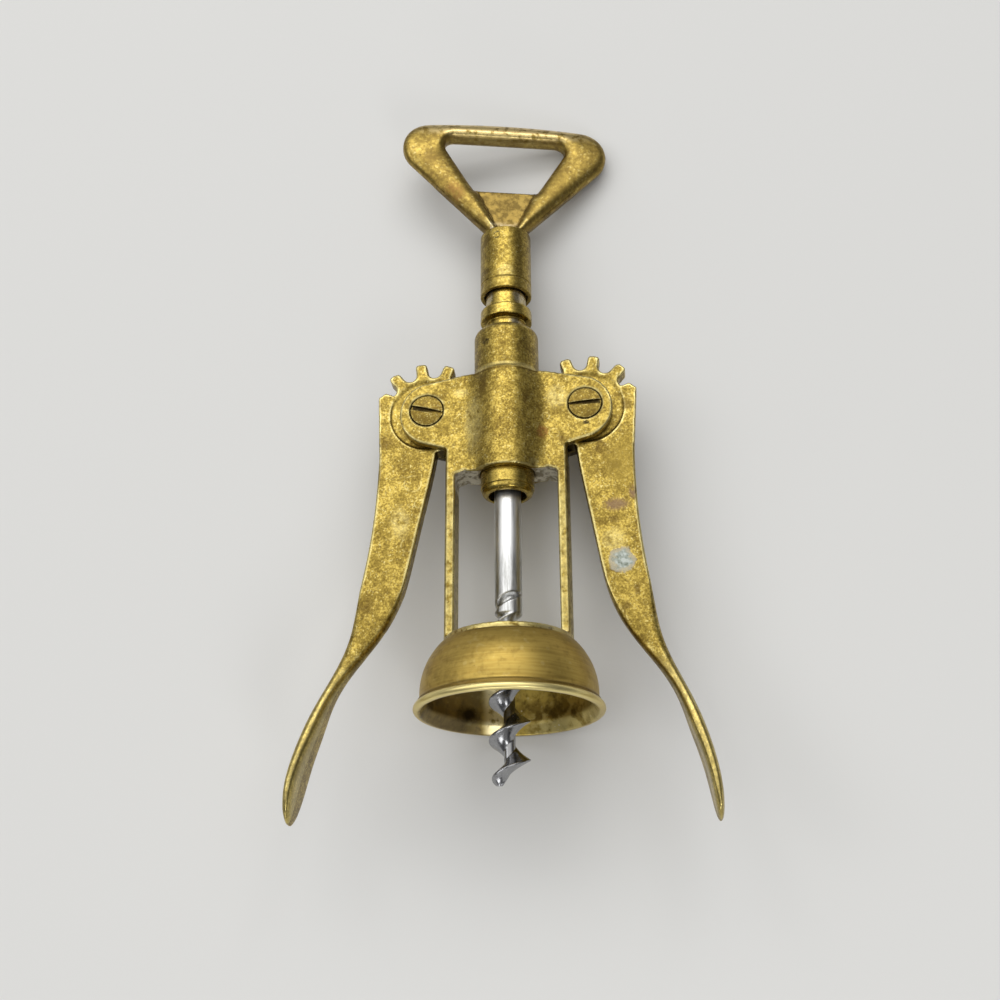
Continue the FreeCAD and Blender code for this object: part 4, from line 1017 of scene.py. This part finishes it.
def frame_dirt_and_painted_light(tree, place, cloud, color, coarse):
    """Painted shade round the screws and behind the heels, painted light above the seam and on ring and legs, dust
    below.
    """
    x, y, z = parts(tree, place)
    # Painted shade: a dark ring in the gap round each sunk screw.
    screw_gap_shade = abs(from_pivot(x, z)[2] - SCREW_GAP).ramp(0.28, 0.04) * (y < 0.0)
    seam = abs(z - COLLAR_SEAM - (cloud - 0.5) * 0.6).ramp(0.32, 0.05) * (abs(x) < 7.4)
    # Painted highlight: a pale band just above the collar's seam.
    above = abs(z - COLLAR_SEAM - 1.0).ramp(0.8, 0.3) * (abs(x) < 7.0)
    under = z.ramp(54.9, 54.2) * (z > 50.0) * (abs(x) < 11.4) * (abs(y) < 3.7)
    # Painted light: the top of the base ring and the legs are made paler.
    ring_top_light = z.ramp(13.6, 14.2) * z.ramp(17.4, 16.6)
    leg_light = z.ramp(52.0, 46.0) * z.ramp(16.0, 20.0)
    # Painted shade: dark behind the levers' heels, under the ears.
    heel_shade = (abs(x) > 13.2) * z.ramp(64.5, 63.0) * (z > 54.0) * (y > -1.0)
    color = painted(
        tree, color, (screw_gap_shade * 0.5, SOOT), (above * 0.35, PALE),
        ((ring_top_light * 0.65 + leg_light * 0.3) * cloud.ramp(0.38, 0.52), PALE), (heel_shade * 0.9, SOOT),
        (seam * 0.7, BROWN), (under * 0.85, DUST),
        (under * cloud.ramp(0.42, 0.56) * 0.7, DRIED_POLISH))
    return color, coarse + under * 0.25 + screw_gap_shade * 0.2


FRAME_BRASS = aged(
    "cast brass", tarnish=0.62, cloud_size=5.0, grain=0.42, pit_share=0.30, pit_size=0.22,
    rough=0.38, relief=1.0, wear=0.9, more=frame_dirt_and_painted_light, marks=[
        ("dark", 4.7, 70.1, 0.7, 1.6), ("dark", -4.8, 73.5, 1.0, 2.4),
        # The light ovals in this list are painted light on the body's faces and beside the barrel.
        ("light", -7.0, 65.0, 2.0, 7.0), ("red", 8.2, 62.3, 1.2, 1.6),
        ("light", 6.3, 54.9, 1.0, 0.8), ("soot", 17.9, 64.2, 0.8, 0.5),
        ("soot", -4.1, 84.9, 0.8, 0.7), ("light", 11.5, 71.0, 2.2, 2.6),
        ("ring", 10.8, 62.0, 1.1, 0.16), ("ring", 9.0, 66.2, 0.8, 0.14),
        ("dark", 12.5, 60.5, 1.0, 0.9), ("light", -10.0, 73.0, 1.6, 1.0),
        ("tin", 9.8, 15.4, 2.4, 0.8), ("red", -9.5, 15.4, 2.0, 0.7), ("red", 12.6, 15.8, 1.0, 1.2)])

# %% The frame's shape
BULGE_TOP, RUN_OUT = 1.0, 10.0
BODY_FOOT, BODY_TOP = 54.8, 77.2


def wide_bulge(mesh):
    """Let the body's round bulge run out wide into its flat faces, as a fillet of sand does."""
    points = read_points(mesh)
    x, y, z = np.abs(points).T
    half_way = (z > 60.0) & (z < 70.0)
    flat = y[half_way & (x > 11.0) & (x < 12.5)].max()
    crest = y[half_way & (x < 0.5)].max()
    slide = rising(x, BULGE_TOP, RUN_OUT)
    fall = 1.0 - slide * slide * (3.0 - 2.0 * slide)
    inland = rising(z, BODY_FOOT, BODY_FOOT + 1.5) * rising(z, BODY_TOP, BODY_TOP - 2.0)
    on_face = y > flat - 0.35
    raised = np.maximum(y, flat + (crest - flat) * fall) - y
    raised *= inland * on_face * (x < RUN_OUT)
    points[:, 1] += np.sign(points[:, 1]) * raised
    mesh.vertices.foreach_set("co", points.ravel())
    underside = (z > 53.0) & (z < 55.2) & (x < 11.3) & (y < flat - 0.4)
    soften(mesh, 20, 0.5, 0.0, inland * on_face * (x < 12.5))
    soften(mesh, 30, 0.5, -0.2, underside)
    print("bulge from", round(flat, 2), "to", round(crest, 2), "raised by", round(raised.max(), 2))
    return mesh


finish_piece("cast_frame", wide_bulge(recast("frame_casting", 0.31)), "frame_casting",
             FRAME_BRASS)

# %% [markdown]
# ## The levers
#
# Both levers are one casting, turned half round. Hands have rubbed their paddles smooth and
# bright, and the rack has rounded their teeth. Softening with a mask does the same: many rounds
# on the paddle, a few on the teeth and none between. Each lever has drops and stains of its own.

# %% The levers' finish
def heel_shade_and_wear(tree, place, cloud, color, coarse):
    """Painted shade where a lever's heel sits under the ear, and shine where hands pull."""
    x, y, z = parts(tree, place)
    # Painted shade: dark where the heel sits under the ear.
    heel_shade = (abs(x) < 15.3) * z.ramp(61.0, 59.5) * (z > 54.0)
    grasp = z.ramp(14.0, 4.0) * (y < -1.0)
    color = painted(tree, color, (heel_shade * 0.9, SOOT), (grasp * 0.3, PALE))
    return color, coarse - grasp * 0.06


def lever_brass(name, seed, marks):
    return aged(name, tarnish=0.62, cloud_size=5.5, grain=0.46, pit_share=0.30, pit_size=0.22,
                rough=0.37, relief=1.0, wear=1.7, more=heel_shade_and_wear, seed=seed, marks=marks)


LEFT_BRASS = lever_brass("left lever brass", 21.0, [
    ("ring", -20.9, 52.2, 1.9, 0.25), ("ring", -21.7, 37.6, 1.5, 0.22),
    ("ring", -19.4, 47.3, 1.0, 0.18), ("dark", -27.5, 62.5, 2.2, 1.6),
    # The light oval on this lever is painted light.
    ("dark", -29.0, 55.0, 0.9, 3.0), ("light", -23.5, 43.0, 2.0, 3.5),
    ("red", -30.0, 72.0, 1.2, 0.8), ("dark", -30.5, 24.0, 1.6, 2.0)])
RIGHT_BRASS = lever_brass("right lever brass", 33.0, [
    ("dark", 20.8, 59.0, 1.5, 1.8), ("dark", 24.1, 54.7, 1.4, 1.1),
    ("dark", 23.2, 41.8, 1.2, 0.9), ("purple", 23.7, 45.2, 2.7, 1.4),
    ("olive", 26.0, 55.5, 4.0, 5.0), ("purple", 27.5, 47.9, 0.9, 1.5),
    ("crust", 24.5, 32.3, 2.5, 2.6), ("dark", 25.0, 22.0, 1.1, 0.9),
    # The light oval on this lever is painted light.
    ("dark", 27.5, 25.5, 0.8, 1.3), ("light", 23.0, 37.0, 2.4, 2.4),
    ("dark", 27.0, 69.0, 1.2, 1.5)])
print("each lever has stains of its own")


# %% The levers' shape
def hand_rubbed(mesh):
    """Round the paddle of a lever and the tips of its teeth more than the rest."""
    x, _, z = read_points(mesh).T
    out, up = np.abs(x) - PIVOT_OUT, z - PIVOT_UP
    teeth = (np.hypot(out, up) > 8.3) & (up > 3.0) & (out < 8.0)
    soften(mesh, 9, 0.5, 0.0, teeth)
    soften(mesh, 130, 0.5, 0.0, rising(z, 27.0, 18.0))
    return mesh


for hand, brass in (("left", LEFT_BRASS), ("right", RIGHT_BRASS)):
    finish_piece("cast_" + hand + "_lever", hand_rubbed(recast(hand + "_lever", 0.25)),
                 hand + "_lever", brass)

# %% [markdown]
# ## The loop
#
# The loop lifts crown caps and is the handle too. It is a flat casting whose bars have been
# filed to a soft crest, with a thin web under the opening. For each vertex the lesson measures
# how far it is from the loop's outer edge and from the opening. Half way between them lies the
# crest, and towards both edges the bar gets thinner. The web stays flat.

# %% The loop's sizes and its finish
LOOP_FOOT, LOOP_CORNER, CROWN_RISE = (3.2, GRIP_TOP), (32.8, 145.85), 2.6
OPENING_FOOT, OPENING_CORNER, OPENING_ROUND = (5.63, 129.81), (12.32, 141.25), 2.4
WEB_FOOT, WEB_CORNER, WEB_FLARE, WEB_HALF_DEPTH = (1.8, 117.1), (7.7, 129.9), 0.461, 1.3
LOOP_TINT, BAR_SHINE = (0.36, 0.245, 0.072, 1.0), (0.80, 0.63, 0.30, 1.0)
WEB_DARK, WEB_LIGHT = (0.13, 0.088, 0.026, 1.0), (0.27, 0.185, 0.05, 1.0)


def loop_dirt_and_highlight(tree, place, cloud, color, coarse):
    """A dull web, a painted highlight on the top bar's front, and dirt and solder where the loop meets the grip.
    """
    x, y, z = parts(tree, place)
    depth = y * math.cos(HANDLE_SPIN) - x * math.sin(HANDLE_SPIN)
    web = (abs(depth) < WEB_HALF_DEPTH) * (z < 129.6) * (z > 116.5)
    web_tint = mixed(tree, cloud.ramp(0.40, 0.60), WEB_DARK, WEB_LIGHT)
    # Painted highlight: the front of the top bar is made brighter.
    top_bar_highlight = z.ramp(143.2, 145.0) * abs(x).ramp(24.0, 15.0) * depth.ramp(1.5, -1.0)
    solder = z.ramp(120.6, 118.2) * (abs(x) < 3.4) * cloud.ramp(0.44, 0.60)
    seam = abs(z - GRIP_TOP - 0.15).ramp(0.35, 0.10)
    color = painted(
        tree, color, (0.35, LOOP_TINT), (web * 0.9, web_tint),
        (top_bar_highlight * cloud.ramp(0.36, 0.50) * 0.65, BAR_SHINE), (solder * 0.40, TIN),
        (seam * 0.85, SOOT))
    return color, coarse + seam * 0.2 - top_bar_highlight * 0.06


LOOP_BRASS = aged(
    "loop brass", tarnish=0.68, cloud_size=5.0, grain=0.80, pit_share=0.28, pit_size=0.22,
    rough=0.36, relief=1.0, wear=1.5, more=loop_dirt_and_highlight, seed=45.0, marks=[
        ("red", -12.1, 126.8, 2.4, 3.0), ("olive", 14.0, 131.0, 5.0, 10.0),
        ("dark", 1.1, 125.7, 0.5, 0.45), ("dark", 5.4, 126.3, 0.5, 0.45),
        # The light ovals on the top bar are painted highlights.
        ("dark", -2.6, 126.9, 0.4, 0.4), ("light", -4.0, 144.3, 7.0, 0.7),
        ("light", 7.0, 143.4, 3.0, 0.6), ("red", 3.0, 146.2, 6.0, 0.9),
        ("dark", -17.5, 137.0, 1.6, 2.2), ("dark", 16.5, 128.5, 1.0, 1.6)])

# %% The loop's shape
EDGE_SHARE, CREST_WIDTH, CORNER_BLEND = 0.60, 2.3, 0.45


def to_line(across, z, start, end):
    """The distance of points from the piece of line between start and end."""
    start, along = np.array(start), np.array(end) - np.array(start)
    away = np.stack([across, z], axis=1) - start
    share = np.clip(away @ along / (along @ along), 0.0, 1.0)
    return np.linalg.norm(away - share[:, None] * along, axis=1)


def from_outside(across, z):
    """How far a point of the loop is from its flanks and its crown, blended at the corners."""
    flank = to_line(across, z, LOOP_FOOT, LOOP_CORNER)
    crown = LOOP_CORNER[1] + CROWN_RISE - CROWN_RISE * (across / LOOP_CORNER[0]) ** 2
    under_crown = np.maximum(crown - z, 0.0)
    nearer = np.exp(-CORNER_BLEND * flank) + np.exp(-CORNER_BLEND * under_crown)
    return np.maximum(-np.log(nearer) / CORNER_BLEND, 0.0)


def from_opening(across, z):
    """How far a point of the loop is from the opening or the web, more so in the top bar."""
    top_middle = (0.0, OPENING_CORNER[1])
    opening = np.minimum(to_line(across, z, OPENING_FOOT, OPENING_CORNER),
                         to_line(across, z, top_middle, OPENING_CORNER)) - OPENING_ROUND
    inner = np.minimum(np.maximum(opening, 0.0), to_line(across, z, WEB_FOOT, WEB_CORNER))
    return inner * (1.0 + 1.3 * rising(z, 139.0, 144.0))


def crown_loop(mesh):
    """Let the loop's bars swell from their edges to a crest along their middle."""
    points = read_points(mesh)
    cosine, sine = math.cos(HANDLE_SPIN), math.sin(HANDLE_SPIN)
    x = points[:, 0] * cosine + points[:, 1] * sine
    depth = points[:, 1] * cosine - points[:, 0] * sine
    z = points[:, 2]
    across, deep = np.abs(x), np.abs(depth)
    outer, inner = from_outside(across, z), from_opening(across, z)
    share = outer / np.maximum(outer + inner, 1e-6)
    crest = np.clip(1.0 - np.abs(2.0 * share - 1.0) ** CREST_WIDTH, 0.0, 1.0)
    swell = EDGE_SHARE + (1.0 - EDGE_SHARE) * crest
    swell = 1.0 - (1.0 - swell) * rising(z, GRIP_TOP, GRIP_TOP + 3.0)
    in_web = (z < WEB_CORNER[1]) & (deep < WEB_HALF_DEPTH)
    in_web &= across < WEB_FOOT[0] + (z - WEB_FOOT[1]) * WEB_FLARE
    shaped = deep * np.where(in_web, 1.0, swell)
    beside_web = z < WEB_CORNER[1] + 0.3
    shaped = np.where(beside_web, np.maximum(shaped, np.minimum(deep, 1.0)), shaped)
    depth = np.sign(depth) * shaped
    points[:, 0], points[:, 1] = x * cosine - depth * sine, x * sine + depth * cosine
    mesh.vertices.foreach_set("co", points.ravel())
    soften(mesh, 16, 0.5, 0.0, ~in_web)
    return mesh


finish_piece("cast_loop", crown_loop(recast("opener_head", 0.22)), "opener_head",
             LOOP_BRASS)

# %% [markdown]
# ## Screws
#
# Each lever turns on a slotted brass screw. Drivers and the rubbing of the lever keep the heads
# lighter than the castings. They are small, so their skin needs a finer voxel.

# %% The two pivot screws
def slot_shade(tree, place, cloud, color, coarse):
    """Painted shade in the driver slot, which lies below the face of the head."""
    x, y, z = parts(tree, place)
    _, up, far = from_pivot(x, z)
    # Painted shade: the upper part of the slot is darkened.
    deep = y.ramp(-4.05, -3.6) * (far < 3.4) * (y < -2.6) * up.ramp(-0.30, 0.20)
    return mixed(tree, deep * 0.8, color, SOOT), coarse + deep * 0.2


SCREW_BRASS = aged(
    "screw brass", tarnish=0.85, cloud_size=2.6, grain=0.30, pit_share=0.20, pit_size=0.16,
    rough=0.36, relief=0.9, wear=0.9, more=slot_shade, seed=60.0)
for hand in ("left", "right"):
    finish_piece(hand + "_screw", recast(hand + "_pivot_screw", 0.12), hand + "_pivot_screw",
                 SCREW_BRASS, strength=4.0)
